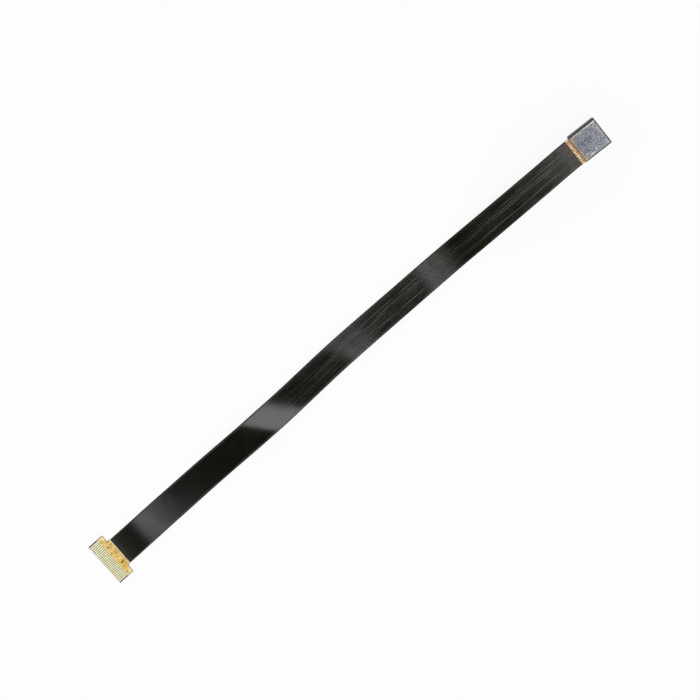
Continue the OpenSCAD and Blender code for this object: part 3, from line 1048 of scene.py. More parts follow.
@dataclass(frozen=True)
class FlexRoute:
    """Middle layer of the flex from under the plate, along its route and out to the contacts."""

    strip_end: float
    head_z: float
    lie_z: float
    tab_z: float
    tab_l: float = 5.55 * MM
    half_chord: float = 0.4 * MM

    # Run from the end of the bare strip and sideways drift, in metres, and rise from where the
    # flex would lie flat as a share of the way up to the head, or None on the tab
    POINTS = (
        (0, 0, 1), (0.004, 0.0001, 1), (0.01, 0.0004, 0.95), (0.017, 0.00077, 0.8),
        (0.024, 0.00118, 0.57), (0.031, 0.00157, 0.34), (0.036, 0.00183, 0.18),
        (0.039, 0.00196, 0.115), (0.042, 0.00208, 0.1), (0.047, 0.00229, 0.115),
        (0.052, 0.00252, 0.135), (0.058, 0.00283, 0.13), (0.064, 0.00313, 0.12),
        (0.07, 0.00343, 0.115), (0.076, 0.00373, 0.135), (0.081, 0.00404, 0.155),
        (0.086, 0.00444, 0.15), (0.091, 0.0049, 0.14), (0.096, 0.00536, 0.125),
        (0.099, 0.00561, 0.125), (0.102, 0.00584, 0.145), (0.105, 0.00602, 0.18),
        (0.108, 0.00619, 0.215), (0.11, 0.00631, 0.225), (0.113, 0.00648, 0.21),
        (0.119, 0.00678, 0.15), (0.126, 0.00716, 0.075), (0.131, 0.00748, 0.035),
        (0.136, 0.0078, 0.02), (0.14, 0.00804, 0.025), (0.144, 0.00828, 0.045),
        (0.147, 0.00848, 0.07), (0.15, 0.00867, 0.09), (0.152, 0.00881, 0.08),
        (0.154, 0.00896, 0.05), (0.1557, 0.00908, None), (0.1571, 0.00917, None),
    )

    # Runs over which the bends lie aslant, with the slant as run per offset across
    SLANTS = ((0.06, 0), (0.098, 0.85), (0.125, 0.7), (0.145, 0.15), (0.151, 0))

    @property
    def last(self) -> float:
        """Run at which the tab begins."""
        return self.POINTS[-1][0]

    @property
    def end(self) -> float:
        """Run at the contact edge."""
        return self.last + self.tab_l

    def _corner(self, i: int) -> Vector:
        """Looks up a point of the route.

        Args:
            i: its place in the list; the ends hold past either end.

        Returns:
            Its run, drift and height.
        """
        run, drift, rise = self.POINTS[min(max(i, 0), len(self.POINTS) - 1)]
        z = self.tab_z if rise is None else self.lie_z + rise * (self.head_z - self.lie_z)
        return Vector((run, drift, z))

    def _slope(self, i: int) -> Vector:
        """Works out how the route runs on through a point.

        Args:
            i: the point's place in the list.

        Returns:
            Change of run, drift and height with run.
        """
        after = self._corner(i + 1)
        before = self._corner(i - 1)
        return (after - before) / (after.x - before.x)

    def middle(self, run: float) -> Vector:
        """Finds a point of the centreline, by a cubic through the route's points.

        Args:
            run: run from the end of the bare strip; it is below 0 under the plate.

        Returns:
            The point, in the middle layer.
        """
        if run <= 0:
            return Vector((self.strip_end - run, 0, self.head_z))
        if run >= self.last:
            ahead = self.heading * (run - self.last)
            corner = self._corner(len(self.POINTS))
            return Vector((self.strip_end - corner.x, -corner.y, corner.z)) + ahead
        i = max(k for k, point in enumerate(self.POINTS) if point[0] <= run)
        a = self._corner(i)
        b = self._corner(i + 1)
        span = b.x - a.x
        t = (run - a.x) / span
        leaving = self._slope(i) if i else Vector((1, 0, 0))
        arriving = self._slope(i + 1)
        point = (
            a * (2 * t**3 - 3 * t**2 + 1)
            + b * (3 * t**2 - 2 * t**3)
            + leaving * (span * (t**3 - 2 * t**2 + t))
            + arriving * (span * (t**3 - t**2))
        )
        return Vector((self.strip_end - run, -point.y, point.z))

    @property
    def heading(self) -> Vector:
        """Direction in which the tab points.

        Returns:
            A level vector of length 1.
        """
        a = self._corner(len(self.POINTS) - 2)
        b = self._corner(len(self.POINTS) - 1)
        return Vector((a.x - b.x, a.y - b.y, 0)).normalized()

    def slant(self, run: float) -> float:
        """Slant of the bends, eased from one stop to the next.

        Args:
            run: run along the flex.

        Returns:
            Run per offset across.
        """
        stops = self.SLANTS
        if run <= stops[0][0] or run >= stops[-1][0]:
            return 0
        i = max(k for k, stop in enumerate(stops) if stop[0] <= run)
        share = smoothstep((run - stops[i][0]) / (stops[i + 1][0] - stops[i][0]))
        return stops[i][1] + share * (stops[i + 1][1] - stops[i][1])

    def station(self, run: float) -> "Station":
        """Works out the frame of the flex.

        Args:
            run: run along the flex.

        Returns:
            The frame there.
        """
        after = self.middle(run + self.half_chord)
        before = self.middle(run - self.half_chord)
        ahead = (after - before).normalized()
        side = Vector((0, 0, 1)).cross(ahead).normalized()
        return Station(run, self.middle(run), ahead, side, ahead.cross(side), self.slant(run))

    def at(self, station: "Station", across: float, lift: float) -> Vector:
        """Point off the centreline.

        Args:
            station: frame of the flex there.
            across: offset to the side.
            lift: height above the middle layer, square to it.

        Returns:
            The point in the shared frame.
        """
        point = station.middle + station.side * across + station.up * lift
        if station.slant:
            point.z += self.middle(station.run + station.slant * across).z - station.middle.z
        return point

    def tab_matrix(self) -> Matrix:
        """Frame of the tab.

        Returns:
            A turn and shift whose +X runs to the contact edge in the tab's middle layer.
        """
        heading = self.heading
        turn = Matrix.Rotation(math.atan2(heading.y, heading.x), 4, "Z")
        return Matrix.Translation(self.middle(self.last)) @ turn


@dataclass(frozen=True)
class Ridge:
    """An embossed trace under a shield film."""

    across: float
    half_width: float
    height: float
    fades_at: float


@dataclass(frozen=True)
class FlexSweep:
    """One layer of the flex, swept through stations of run and half width."""

    route: FlexRoute
    stations: tuple[tuple[float, float], ...]
    lanes: int
    low: float
    high: float
    end_skew: float = 0

    UV_NAME = "along_flex"
    LINE_NAME = "line"

    def build(
        self,
        name: str,
        relief: Callable[[float, float, float], tuple[float, float]] | None = None,
    ) -> bpy.types.Object:
        """Builds the layer from a grid that is bent along the route and then thickened.

        Args:
            name: name of the piece.
            relief: extra lift of the outer face, and the strength of a pale line there, partly worn
                by
            rubbing and partly painted highlight, at a run, an offset and a half width.

        Returns:
            The piece.
        """
        bm = bmesh.new()
        columns = len(self.stations) - 1
        bmesh.ops.create_grid(bm, x_segments=columns, y_segments=self.lanes, size=1)
        station_layer = bm.verts.layers.int.new("station")
        across_layer = bm.verts.layers.float.new("across")
        line_layer = bm.verts.layers.float.new(self.LINE_NAME)
        for vert in bm.verts:
            station = round((vert.co.x + 1) / 2 * columns)
            vert[station_layer] = station
            vert[across_layer] = vert.co.y * self.stations[station][1]
        grown = bmesh.ops.extrude_face_region(bm, geom=bm.faces[:])
        inner = {v for v in grown["geom"] if isinstance(v, bmesh.types.BMVert)}
        frames = [self.route.station(run) for run, _ in self.stations]
        for vert in bm.verts:
            run, half = self.stations[vert[station_layer]]
            across = vert[across_layer]
            lift = self.low if vert in inner else self.high
            if relief and vert not in inner:
                raised, vert[line_layer] = relief(run, across, half)
                lift += math.copysign(raised, self.high)
            station = frames[vert[station_layer]]
            vert.co = self.route.at(station, across, lift)
            if vert[station_layer] == columns:
                vert.co += station.ahead * (self.end_skew * across)
        uv = bm.loops.layers.uv.new(self.UV_NAME)
        for face in bm.faces:
            for loop in face.loops:
                run = self.stations[loop.vert[station_layer]][0]
                loop[uv].uv = (run, loop.vert[across_layer])
        bm.verts.layers.int.remove(station_layer)
        bm.verts.layers.float.remove(bm.verts.layers.float["across"])
        return piece_from(bm, name)


@dataclass
class FlexCircuit:
    """The flat flex: its amber core, its two black shield films and what lies on its tab."""

    head_half_l: float
    head_half_w: float
    head_corner_r: float
    flex_z: float
    flex_t: float
    stiffener_top: float
    tab_half_w: float
    film_t: float = 0.05 * MM
    strip_l: float = 1.1 * MM
    pad_step: float = 0.1 * MM
    head_w: float = 7.6 * MM
    tab_end_w: float = 8.1 * MM
    neck_l: float = 0.8 * MM
    fillet_r: float = 0.3 * MM
    corner_r: float = 0.2 * MM
    ear_step: float = 0.02 * MM
    contact_l: float = 3 * MM
    film_skew: float = 0.016
    top_film_share: float = 0.4

    # Fineness of the meshes
    step: float = 0.8 * MM
    lanes: int = 144
    under_lanes: int = 36
    core_lanes: int = 8

    # Embossed traces; the reach is in half widths
    seed: int = 11
    ridge_count: int = 14
    ridge_pitch: float = 0.5 * MM
    ridge_stray: float = 0.07 * MM
    ridge_half_w: Span = (0.08 * MM, 0.12 * MM)
    ridge_end: Span = (92 * MM, 128 * MM)
    ridge_reach: float = 2.5
    ridge_fade: float = 35 * MM
    strong_share: float = 0.35
    strong_height: float = 0.028 * MM
    faint_height: float = 0.009 * MM

    # Step down past the copper's edge, and the pale line beside it, partly rubbing wear and partly
    # painted highlight, which fades over shares of the run
    copper_t: float = 0.02 * MM
    border: float = 0.24 * MM
    border_slope: float = 0.12 * MM
    border_line: float = 0.44 * MM
    border_line_w: float = 0.1 * MM
    border_strength: float = 0.5
    border_end: float = 1.2
    border_fade: float = 0.5

    # Stains on the tab, by the way past its start and the offset across
    STAINS: ClassVar[tuple[Mark, ...]] = (
        Mark((2.9 * MM, -2.5 * MM), (3.1 * MM, -2.2 * MM), 0.22 * MM),
        Mark((1.1 * MM, 2.35 * MM), (1.8 * MM, 2.6 * MM), 0.3 * MM),
        Mark((1.2 * MM, 3.4 * MM), (1.35 * MM, 3.4 * MM), 0.2 * MM),
        Mark((1.35 * MM, -1 * MM), (1.45 * MM, -0.5 * MM), 0.16 * MM),
        Mark((3.1 * MM, 3.2 * MM), (3.2 * MM, 3.7 * MM), 0.22 * MM),
        Mark((1.15 * MM, -3 * MM), (1.2 * MM, -2.7 * MM), 0.14 * MM),
    )

    def __post_init__(self) -> None:
        """Works out the route from the frame's levels."""
        self.route = FlexRoute(
            strip_end=-self.head_half_l - self.strip_l,
            head_z=self.flex_z + self.flex_t / 2,
            lie_z=self.film_t + self.flex_t / 2,
            tab_z=self.stiffener_top + self.flex_t / 2,
        )
        self.ridges = self._ridges()

    def half_width(self, run: float) -> float:
        """Half width of the ribbon at a run."""
        share = run / self.route.last
        return (self.head_w + (self.tab_end_w - self.head_w) * share) / 2

    def _runs(self) -> list[float]:
        """Runs of the ribbon's rings."""
        count = round(self.route.last / self.step)
        return [self.route.last * i / count for i in range(count + 1)]

    def _pad(self) -> list[tuple[float, float]]:
        """Outlines the flat pad under the plate.

        Returns:
            Its stations.
        """
        r = self.head_corner_r
        start = self.route.strip_end - self.head_half_l
        end = self.route.strip_end + self.head_half_l
        return [
            *quarter(start + r, self.head_half_w - r, r, 180, 90),
            (end, self.head_half_w),
            (end + self.pad_step, self.head_w / 2),
        ]

    def _tab(self) -> list[tuple[float, float]]:
        """Outlines the tab.

        Returns:
            Stations of its neck's fillets, its ears and its round corners.
        """
        shoulder = self.route.last + self.neck_l
        r = self.corner_r
        ear = self.tab_half_w - r
        fillet = (shoulder - self.fillet_r, self.tab_end_w / 2 + self.fillet_r)
        return [
            *quarter(*fillet, self.fillet_r, -90, 0),
            *quarter(shoulder + self.ear_step + r, ear, r, 180, 90),
            *quarter(self.route.end - r, ear, r, 90, 0),
        ]

    def _ridges(self) -> list[Ridge]:
        """Draws the embossed traces, a few of them strong.

        Returns:
            One ridge for each trace.
        """
        draw = random.Random(self.seed)
        ridges = []
        for i in range(self.ridge_count):
            strong = draw.random() < self.strong_share
            lane = (i - (self.ridge_count - 1) / 2) * self.ridge_pitch
            ridges.append(
                Ridge(
                    across=lane + draw.uniform(-self.ridge_stray, self.ridge_stray),
                    half_width=draw.uniform(*self.ridge_half_w),
                    height=self.strong_height if strong else self.faint_height,
                    fades_at=draw.uniform(*self.ridge_end),
                )
            )
        return ridges

    def relief(self, run: float, across: float, half: float) -> tuple[float, float]:
        """Shape of the film's face over the copper and its embossed traces.

        Args:
            run: run along the flex.
            across: offset from the centreline.
            half: half width of the ribbon there.

        Returns:
            The lift, and the strength of the pale line, partly rubbing wear and partly painted
            highlight.
        """
        inset = half - abs(across)
        lift = self.copper_t * smoothstep((inset - self.border) / self.border_slope)
        off_line = (inset - self.border_line) / self.border_line_w
        fade = smoothstep((self.border_end - run / self.route.last) / self.border_fade)
        line = self.border_strength * fade * math.exp(-off_line * off_line)
        for ridge in self.ridges:
            offset = (across - ridge.across * half / (self.head_w / 2)) / ridge.half_width
            if abs(offset) < self.ridge_reach:
                fade = smoothstep((ridge.fades_at - run) / self.ridge_fade)
                shown = fade * math.exp(-offset * offset)
                lift += ridge.height * shown
                line = max(line, shown * ridge.height / self.strong_height)
        return lift, line

    def build(self) -> list[bpy.types.Object]:
        """Builds the core and the two films.

        Returns:
            The pieces, core first.
        """
        ribbon = tuple((run, self.half_width(run)) for run in self._runs())
        whole = (*self._pad(), *ribbon, *self._tab())
        half_t = self.flex_t / 2
        top = half_t + self.film_t * self.top_film_share
        bottom = -half_t - self.film_t
        core = FlexSweep(self.route, whole, self.core_lanes, -half_t, half_t)
        film = FlexSweep(self.route, ribbon, self.lanes, half_t, top, self.film_skew)
        under = FlexSweep(self.route, ribbon, self.under_lanes, -half_t, bottom)
        pieces = [
            core.build("flex_core"),
            film.build("top_film", self.relief),
            under.build("bottom_film"),
        ]
        for piece, node in zip(pieces, ("flex_circuit", "top_shield_film", "bottom_shield_film")):
            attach(piece, ROOT)
            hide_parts(node)
        dress(pieces[0], self._core_finish())
        widening = (self.tab_end_w - self.head_w) / 2 / self.route.last
        for piece in pieces[1:]:
            dress(piece, ShieldFilm("satin_black_film", self.head_w / 2, widening, self.route.last))
        return pieces

    def _core_finish(self) -> FlexCore:
        """Sets the core's finish to the runs at which its zones meet.

        Returns:
            The finish.
        """
        return FlexCore(
            "flex_core",
            strip_l=self.strip_l,
            neck_half_w=self.tab_end_w / 2,
            last=self.route.last,
            shoulder=self.route.last + self.neck_l,
            contacts_from=self.route.end - self.contact_l,
            tab_half_w=self.tab_half_w,
            stains=self.STAINS,
        )

    def path(self) -> list[Vector]:
        """Follows the whole flex from under the plate to the contact edge.

        Returns:
            Points of its centreline.
        """
        first = self._pad()[0][0]
        runs = [first, 0.0] + self._runs()[1:] + [self.route.end]
        return [self.route.middle(run) for run in runs]

    def exit(self) -> Vector:
        """Point at which the flex leaves the head."""
        return self.route.middle(-self.strip_l)


@dataclass
class TabHoles:
    """Plated holes between the contacts and the black film."""

    route: FlexRoute
    top_z: float
    radius: float = 0.17 * MM
    bore: float = 0.07 * MM
    height: float = 0.03 * MM
    sunk_share: float = 0.9
    segments: int = 24
    places: tuple[tuple[float, float], ...] = (
        (1.75 * MM, -2.8 * MM),
        (2.05 * MM, -1 * MM),
        (1.7 * MM, 2.4 * MM),
        (1.75 * MM, 3.6 * MM),
        (2.2 * MM, -4.9 * MM),
        (2.2 * MM, 5.2 * MM),
    )

    def build(self) -> bpy.types.Object:
        """Builds the rims of the plated holes as one piece.

        Returns:
            The piece.
        """
        bm = bmesh.new()
        tab = self.route.tab_matrix()
        for x, y in self.places:
            corner = tab @ Vector((x, y, 0))
            matrix = Matrix.Translation((corner.x, corner.y, self.top_z + self.height / 2))
            made = bmesh.ops.create_cone(
                bm,
                cap_ends=True,
                segments=self.segments,
                radius1=self.radius,
                radius2=self.radius,
                depth=self.height,
                matrix=matrix,
            )
            top = max(
                {face for vert in made["verts"] for face in vert.link_faces},
                key=lambda face: face.calc_center_median().z,
            )
            bmesh.ops.inset_individual(bm, faces=[top], thickness=self.radius - self.bore)
            bmesh.ops.translate(bm, verts=top.verts, vec=(0, 0, -self.height * self.sunk_share))
        piece = piece_from(bm, "tab_plated_holes")
        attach(piece, ROOT)
        copper = PlatedMetal(
            "stained_copper", clean=(0.42, 0.24, 0.06), dull=(0.07, 0.035, 0.01),
            roughness=0.5, metallic=0.5,
        )
        dress(piece, copper)
        return piece


# --- Camera head ---


@dataclass
class BackingPlate:
    """Stamped steel plate with round corners, a worn outline and rolled top edges."""

    low: Vector
    high: Vector
    corner_r: float = 0.15 * MM
    corner_segments: int = 5
    roll: float = 0.035 * MM
    roll_segments: int = 3
    wear: float = 0.012 * MM
    wear_size: float = 0.6 * MM
    outline_step: float = 0.3 * MM

    @property
    def middle(self) -> Vector:
        """Middle of the plate."""
        return (self.low + self.high) / 2

    def _worn(self, vert: bmesh.types.BMVert) -> None:
        """Moves a point of the outline in by the wear there.

        Args:
            vert: the point.
        """
        amount = (noise.noise(vert.co / self.wear_size) + 1) / 2 * self.wear
        inwards = self.middle - vert.co
        vert.co += Vector((inwards.x, inwards.y, 0)).normalized() * amount

    def build(self) -> bpy.types.Object:
        """Builds the plate from its outline.

        Returns:
            The piece.
        """
        size = self.high - self.low
        bm = bmesh.new()
        bmesh.ops.create_grid(bm, x_segments=1, y_segments=1, size=0.5)
        bmesh.ops.scale(bm, vec=(size.x, size.y, 1), verts=bm.verts)
        bmesh.ops.translate(bm, vec=(self.middle.x, self.middle.y, self.low.z), verts=bm.verts)
        bmesh.ops.bevel(
            bm,
            geom=bm.verts[:],
            offset=self.corner_r,
            affect="VERTICES",
            segments=self.corner_segments,
            profile=0.5,
            material=-1,
        )
        long_edges = [edge for edge in bm.edges if edge.calc_length() > self.outline_step * 2]
        bmesh.ops.subdivide_edges(bm, edges=long_edges, cuts=round(size.x / self.outline_step))
        for vert in bm.verts:
            self._worn(vert)
        grown = bmesh.ops.extrude_face_region(bm, geom=bm.faces[:])
        top_verts = [v for v in grown["geom"] if isinstance(v, bmesh.types.BMVert)]
        bmesh.ops.translate(bm, vec=(0, 0, size.z), verts=top_verts)
        rim = [e for e in bm.edges if all(v.co.z > self.high.z - size.z / 2 for v in e.verts)]
        bmesh.ops.bevel(
            bm,
            geom=rim,
            offset=self.roll,
            affect="EDGES",
            segments=self.roll_segments,
            profile=0.5,
            material=-1,
        )
        piece = piece_from(bm, "stamped_plate")
        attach(piece, ROOT)
        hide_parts("backing_plate")
        dress(piece, self._steel(size))
        return piece

    def _steel(self, size: Vector) -> ScuffedSteel:
        """Places the plate's scratches, specks and smudges.

        Args:
            size: size of the plate.

        Returns:
            Its finish.
        """
        scratches = (
            Mark((-3.2 * MM, -2.55 * MM), (-2.4 * MM, -2.45 * MM), 0.12 * MM),
            Mark((-2.2 * MM, -3.05 * MM), (-0.6 * MM, -3.2 * MM), 0.1 * MM),
            Mark((-0.3 * MM, -2.65 * MM), (0.35 * MM, -2.75 * MM), 0.08 * MM),
            Mark((0.7 * MM, -2.7 * MM), (1.1 * MM, -2.8 * MM), 0.06 * MM),
            Mark((2.9 * MM, 2.4 * MM), (3 * MM, 2.4 * MM), 0.12 * MM),
            Mark((-0.9 * MM, 2.85 * MM), (-0.7 * MM, 2.9 * MM), 0.1 * MM),
        )
        # Dark specks of grime; the second is a painted shadow beside the first scratch
        specks = (
            Mark((3.25 * MM, 2.2 * MM), (3.3 * MM, 2.2 * MM), 0.18 * MM),
            Mark((-2.9 * MM, -2.95 * MM), (-2.4 * MM, -2.8 * MM), 0.08 * MM),
            Mark((-3.3 * MM, -2.25 * MM), (-3.1 * MM, -2.2 * MM), 0.1 * MM),
        )
        smudges = (
            Mark((3.2 * MM, -1.8 * MM), (3.3 * MM, -1.7 * MM), 0.45 * MM),
            Mark((0.8 * MM, -2 * MM), (1 * MM, -1.95 * MM), 0.22 * MM),
            Mark((-1.8 * MM, 0.3 * MM), (0.4 * MM, 0.6 * MM), 0.9 * MM),
        )
        return ScuffedSteel(
            "scuffed_steel", self.middle, size.x / 2, size.y / 2, scratches, specks, smudges
        )


@dataclass
class BarrelThread:
    """Fine screw thread round the lens barrel."""

    radius: float
    low: float
    high: float
    pitch: float = 0.35 * MM
    height: float = 0.026 * MM
    root: float = 0.01 * MM
    flank_share: float = 0.3
    steps_per_turn: int = 72
    weld: float = 1e-7

    def build(self) -> bpy.types.Object:
        """Spins a small triangle up the barrel.

        Returns:
            The piece.
        """
        bm = bmesh.new()
        half = self.pitch * self.flank_share
        section = [
            bm.verts.new((self.radius - self.root, 0, self.low - half)),
            bm.verts.new((self.radius + self.height, 0, self.low)),
            bm.verts.new((self.radius - self.root, 0, self.low + half)),
        ]
        profile = bm.faces.new(section)
        turns = int((self.high - self.low) / self.pitch)
        steps = turns * self.steps_per_turn
        bmesh.ops.spin(
            bm,
            geom=[profile, *profile.edges, *profile.verts],
            axis=(0, 0, 1),
            cent=(0, 0, 0),
            dvec=(0, 0, self.pitch / self.steps_per_turn),
            angle=2 * math.pi * turns,
            steps=steps,
            use_duplicate=False,
        )
        bmesh.ops.remove_doubles(bm, verts=bm.verts, dist=self.weld)
        piece = piece_from(bm, "barrel_thread", crease_deg=20)
        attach(piece, ROOT)
        dress(piece, TurnedPlastic("turned_barrel_black"))
        return piece


# --- Finishes of the CAD nodes ---


def node_finishes() -> dict[str, Finish]:
    """Finish of each CAD node that stays in view.

    Returns:
        Finishes by node name.
    """
    board_low, board_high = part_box("head_board")
    chip_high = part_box("image_sensor")[1]
    glue = Mottled(
        "black_epoxy", dark=(0.006, 0.006, 0.007), light=(0.02, 0.02, 0.02),
        patch=0.5 * MM, grain=0.08 * MM, grain_depth=0.006 * MM, roughness=0.35,
    )
    tin = Mottled(
        "dull_tin", dark=(0.35, 0.35, 0.36), light=(0.62, 0.61, 0.6),
        patch=0.15 * MM, grain=0.03 * MM, grain_depth=0.003 * MM, roughness=0.4,
        roughness_spread=0.1, metallic=0.9,
    )
    flocked = Mottled(
        "matt_black_plastic", dark=(0.008, 0.008, 0.008), light=(0.018, 0.018, 0.019),
        patch=0.4 * MM, grain=0.04 * MM, grain_depth=0.004 * MM, roughness=0.7,
    )
    lens = ClearOptic("coated_lens", (0.93, 0.95, 0.97), (0.72, 0.62, 1.0), 1.53)
    finishes = {
        "strip_traces": StripMetal("strip_copper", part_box("strip_traces")[0].x),
        "tab_traces": PlatedMetal(
            "covered_copper", clean=(0.86, 0.56, 0.12), dull=(0.5, 0.32, 0.03),
            roughness=0.34, metallic=0.15, heading=TAB_TURN_DEG,
        ),
        "gold_contacts": PlatedMetal(
            "gold_plating", clean=(0.99, 0.98, 0.7), dull=(0.97, 0.9, 0.55),
            roughness=0.3, metallic=0.35, heading=TAB_TURN_DEG,
        ),
        # Dark brown board whose lip round the tab also serves as painted shade along the tab's edge
        "tab_stiffener": Mottled(
            "brown_stiffener", dark=(0.035, 0.022, 0.01), light=(0.11, 0.065, 0.022),
            patch=0.9 * MM, grain=0.06 * MM, grain_depth=0.004 * MM, roughness=0.4,
        ),
        "head_board": LaminateBoard("black_board", board_low.z, board_high.z),
        "memory_chip": Mottled(
            "chip_black", dark=(0.012, 0.012, 0.013), light=(0.035, 0.035, 0.037),
            patch=0.3 * MM, grain=0.03 * MM, grain_depth=0.003 * MM, roughness=0.5,
        ),
        "capacitor_bodies": Mottled(
            "tan_ceramic", dark=(0.3, 0.2, 0.12), light=(0.45, 0.33, 0.2),
            patch=0.12 * MM, grain=0.03 * MM, grain_depth=0.003 * MM, roughness=0.5,
        ),
        "image_sensor": SensorSilicon("sensor_silicon", chip_high.x, chip_high.y),
        "sensor_cover_glass": ClearOptic("cover_glass", (0.95, 0.97, 0.96), (0.8, 0.95, 0.85), 1.51),
        "infrared_filter": ClearOptic(
            "infrared_filter_glass", (0.75, 0.9, 0.93), (1.0, 0.45, 0.55), 1.52
        ),
        "lens_holder": Mottled(
            "holder_black", dark=(0.003, 0.0032, 0.0034), light=(0.019, 0.02, 0.021),
            patch=1.2 * MM, grain=0.07 * MM, grain_depth=0.007 * MM, roughness=0.62, specular=0.3,
        ),
        "thread_glue": Mottled(
            "clear_glue", dark=(0.5, 0.48, 0.4), light=(0.72, 0.7, 0.62),
            patch=0.3 * MM, grain=0.06 * MM, grain_depth=0.008 * MM, roughness=0.18,
            roughness_spread=0.08, coat=0.6,
        ),
        "lens_barrel": TurnedPlastic("turned_barrel_black"),
    }
    shared = {
        glue: ("plate_adhesive", "holder_adhesive", "sensor_dam"),
        tin: ("capacitor_ends", "solder_balls"),
        flocked: ("aperture_stop", "light_baffle", "spacer_ring", "retaining_ring"),
        lens: ("front_lens", "second_lens", "third_lens", "rear_lens"),
    }
    for finish, nodes in shared.items():
        finishes |= dict.fromkeys(nodes, finish)
    return finishes


# --- Studio ---


@dataclass(frozen=True)
class Softbox:
    """A far rectangular studio light; its place and its half sizes are angles in degrees."""

    name: str
    lean_x: float
    lean_y: float
    half_x: float
    half_y: float
    radiance: float


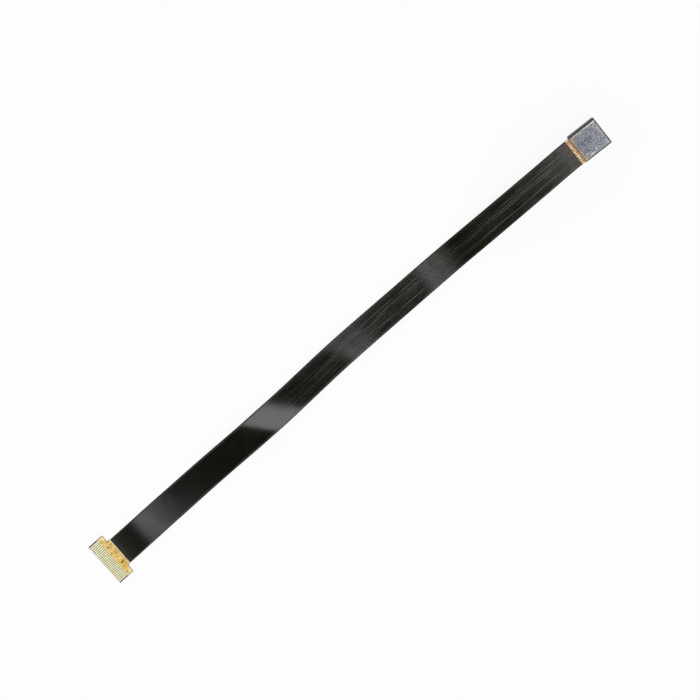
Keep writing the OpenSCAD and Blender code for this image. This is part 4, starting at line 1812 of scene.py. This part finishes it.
@dataclass
class Studio:
    """Plain pale floor, soft light and the camera."""

    centre: Vector
    floor_size: float = 8
    floor_gap: float = 0.02 * MM
    floor_colour: Colour = (0.9, 0.9, 0.89)
    floor_glow: float = 0.9
    zenith: float = 0.03
    horizon: float = 1.15
    sky_band: Span = (0.45, 0.85)
    tilt_deg: float = 8
    roll_deg: float = 38.2
    view_width: float = 182.5 * MM
    slide: float = -1.45 * MM
    rise: float = 0.375 * MM
    lens_mm: float = 1200
    sensor_mm: float = 36
    sees_to: float = 100
    light_distance: float = 10
    softboxes: tuple[Softbox, ...] = (
        Softbox("key_softbox", 14.1, -8, 11, 17, 3.7),
        Softbox("side_softbox", -2, -38, 14, 8, 2.8),
        Softbox("fill_softbox", -42, 20, 12, 12, 1.2),
    )

    def build(self) -> None:
        """Builds the floor, the world, the lights and the camera."""
        self._floor()
        self._world()
        for box in self.softboxes:
            self._light(box)
        self._camera()
        bpy.context.scene.view_settings.view_transform = "Standard"

    def _floor(self) -> None:
        """Builds the floor, which shows as near white and can be seen through from below."""
        bm = bmesh.new()
        bmesh.ops.create_grid(bm, x_segments=1, y_segments=1, size=self.floor_size / 2)
        bmesh.ops.translate(bm, vec=(self.centre.x, self.centre.y, -self.floor_gap), verts=bm.verts)
        floor = piece_from(bm, "floor")
        sheet = NodeSheet(bpy.data.materials.new("pale_floor"))
        rays = [
            sheet.node("ShaderNodeLightPath", out=name)
            for name in ("Is Camera Ray", "Is Glossy Ray", "Is Transmission Ray")
        ]
        seen = rays[0].most(rays[1]).most(rays[2])
        matt = sheet.node("ShaderNodeBsdfDiffuse", None, {"Color": self.floor_colour})
        glow = sheet.node("ShaderNodeEmission", None, {"Color": WHITE, "Strength": 1.0})
        lit = sheet.node("ShaderNodeMixShader", None, {0: seen * self.floor_glow, 1: matt, 2: glow})
        clear = sheet.node("ShaderNodeBsdfTransparent")
        from_below = sheet.node("ShaderNodeNewGeometry", out="Backfacing")
        shown = sheet.node("ShaderNodeMixShader", None, {0: from_below, 1: lit, 2: clear})
        sheet.node("ShaderNodeOutputMaterial", None, {"Surface": shown})
        floor.data.materials.append(sheet.owner)

    def _world(self) -> None:
        """Builds a world that is pale round the horizon and darker overhead."""
        world = bpy.data.worlds.new("studio")
        sheet = NodeSheet(world)
        direction = sheet.node("ShaderNodeTexCoord", out="Generated")
        height = sheet.axis(direction, "Z")
        share = sheet.band(height, *self.sky_band)
        strength = self.horizon + share * (self.zenith - self.horizon)
        sky = sheet.node("ShaderNodeBackground", None, {"Color": WHITE, "Strength": strength})
        sheet.node("ShaderNodeOutputWorld", None, {"Surface": sky})
        bpy.context.scene.world = world

    def _light(self, box: Softbox) -> None:
        """Adds one softbox that looks at the object's middle, with its sides along X and Y.

        Args:
            box: where it stands, its size and its strength.
        """
        light = bpy.data.lights.new(box.name, "AREA")
        light.shape = "RECTANGLE"
        light.size = 2 * self.light_distance * math.tan(math.radians(box.half_x))
        light.size_y = 2 * self.light_distance * math.tan(math.radians(box.half_y))
        light.energy = box.radiance * math.pi * light.size * light.size_y
        lamp = bpy.data.objects.new(box.name, light)
        lean_x = math.tan(math.radians(box.lean_x))
        lean_y = math.tan(math.radians(box.lean_y))
        back = Vector((lean_x, lean_y, 1)).normalized()
        along = (Vector((1, 0, 0)) - back * back.x).normalized()
        turn = Matrix((along, back.cross(along), back)).transposed().to_4x4()
        lamp.matrix_world = Matrix.Translation(self.centre + back * self.light_distance) @ turn
        lamp.visible_camera = False
        bpy.context.scene.collection.objects.link(lamp)

    def _camera(self) -> None:
        """Adds the camera, which looks down and is tilted so that one side of the head shows."""
        tilt = math.radians(self.tilt_deg)
        roll = math.radians(self.roll_deg)
        ahead = Vector((1, 0, 0))
        aside = Vector((0, math.cos(tilt), -math.sin(tilt)))
        back = Vector((0, math.sin(tilt), math.cos(tilt)))
        right = ahead * math.cos(roll) - aside * math.sin(roll)
        up = ahead * math.sin(roll) + aside * math.cos(roll)
        data = bpy.data.cameras.new("camera")
        data.lens = self.lens_mm
        data.sensor_width = self.sensor_mm
        data.clip_end = self.sees_to
        camera = bpy.data.objects.new("camera", data)
        distance = self.view_width * self.lens_mm / self.sensor_mm
        spot = self.centre + right * self.slide + up * self.rise + back * distance
        turn = Matrix((right, up, back)).transposed().to_4x4()
        camera.matrix_world = Matrix.Translation(spot) @ turn
        bpy.context.scene.collection.objects.link(camera)
        bpy.context.scene.camera = camera


# --- Assembly ---


@dataclass
class CameraModule:
    """The whole part: the flex, its tab and the camera head."""

    pad_corner_r: float = 0.3 * MM
    tab_half_w: float = 6.25 * MM
    thread_starts: float = 0.35 * MM
    thread_stops: float = 0.15 * MM

    def build_flex(self) -> None:
        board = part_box("head_board")[1]
        glue_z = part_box("plate_adhesive")[0].z
        flex = FlexCircuit(
            head_half_l=board.x,
            head_half_w=board.y,
            head_corner_r=self.pad_corner_r,
            flex_z=board.z,
            flex_t=glue_z - board.z,
            stiffener_top=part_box("tab_stiffener")[1].z,
            tab_half_w=self.tab_half_w,
        )
        core, *films = flex.build()
        holes = TabHoles(flex.route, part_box("tab_traces")[1].z).build()
        path = flex.path()
        length = sum((b - a).length for a, b in zip(path, path[1:]))
        flex.exit()
        (flex.head_w + flex.tab_end_w) / 2
        log.info("flex circuit, %.1f mm long, with %d films", length / MM, len(films))

    def build_head(self) -> None:
        """Builds the plate and the barrel's thread."""
        BackingPlate(*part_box("backing_plate")).build()
        low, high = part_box("lens_barrel")
        BarrelThread(high.x, low.z + self.thread_starts, high.z - self.thread_stops).build()

    def dress_nodes(self) -> None:
        """Gives each CAD node in view its finish."""
        for name, finish in node_finishes().items():
            dress(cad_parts[name], finish)
            log.info("%s in %s", name, finish.name)


def main() -> None:
    """Builds the part and the studio."""
    logging.basicConfig(level=logging.INFO, format="%(name)s: %(message)s")
    low, high = CAD_BOX
    Studio((low + high) / 2).build()
    module = CameraModule()
    module.build_flex()
    module.build_head()
    module.dress_nodes()


if __name__ == "__main__":
    main()
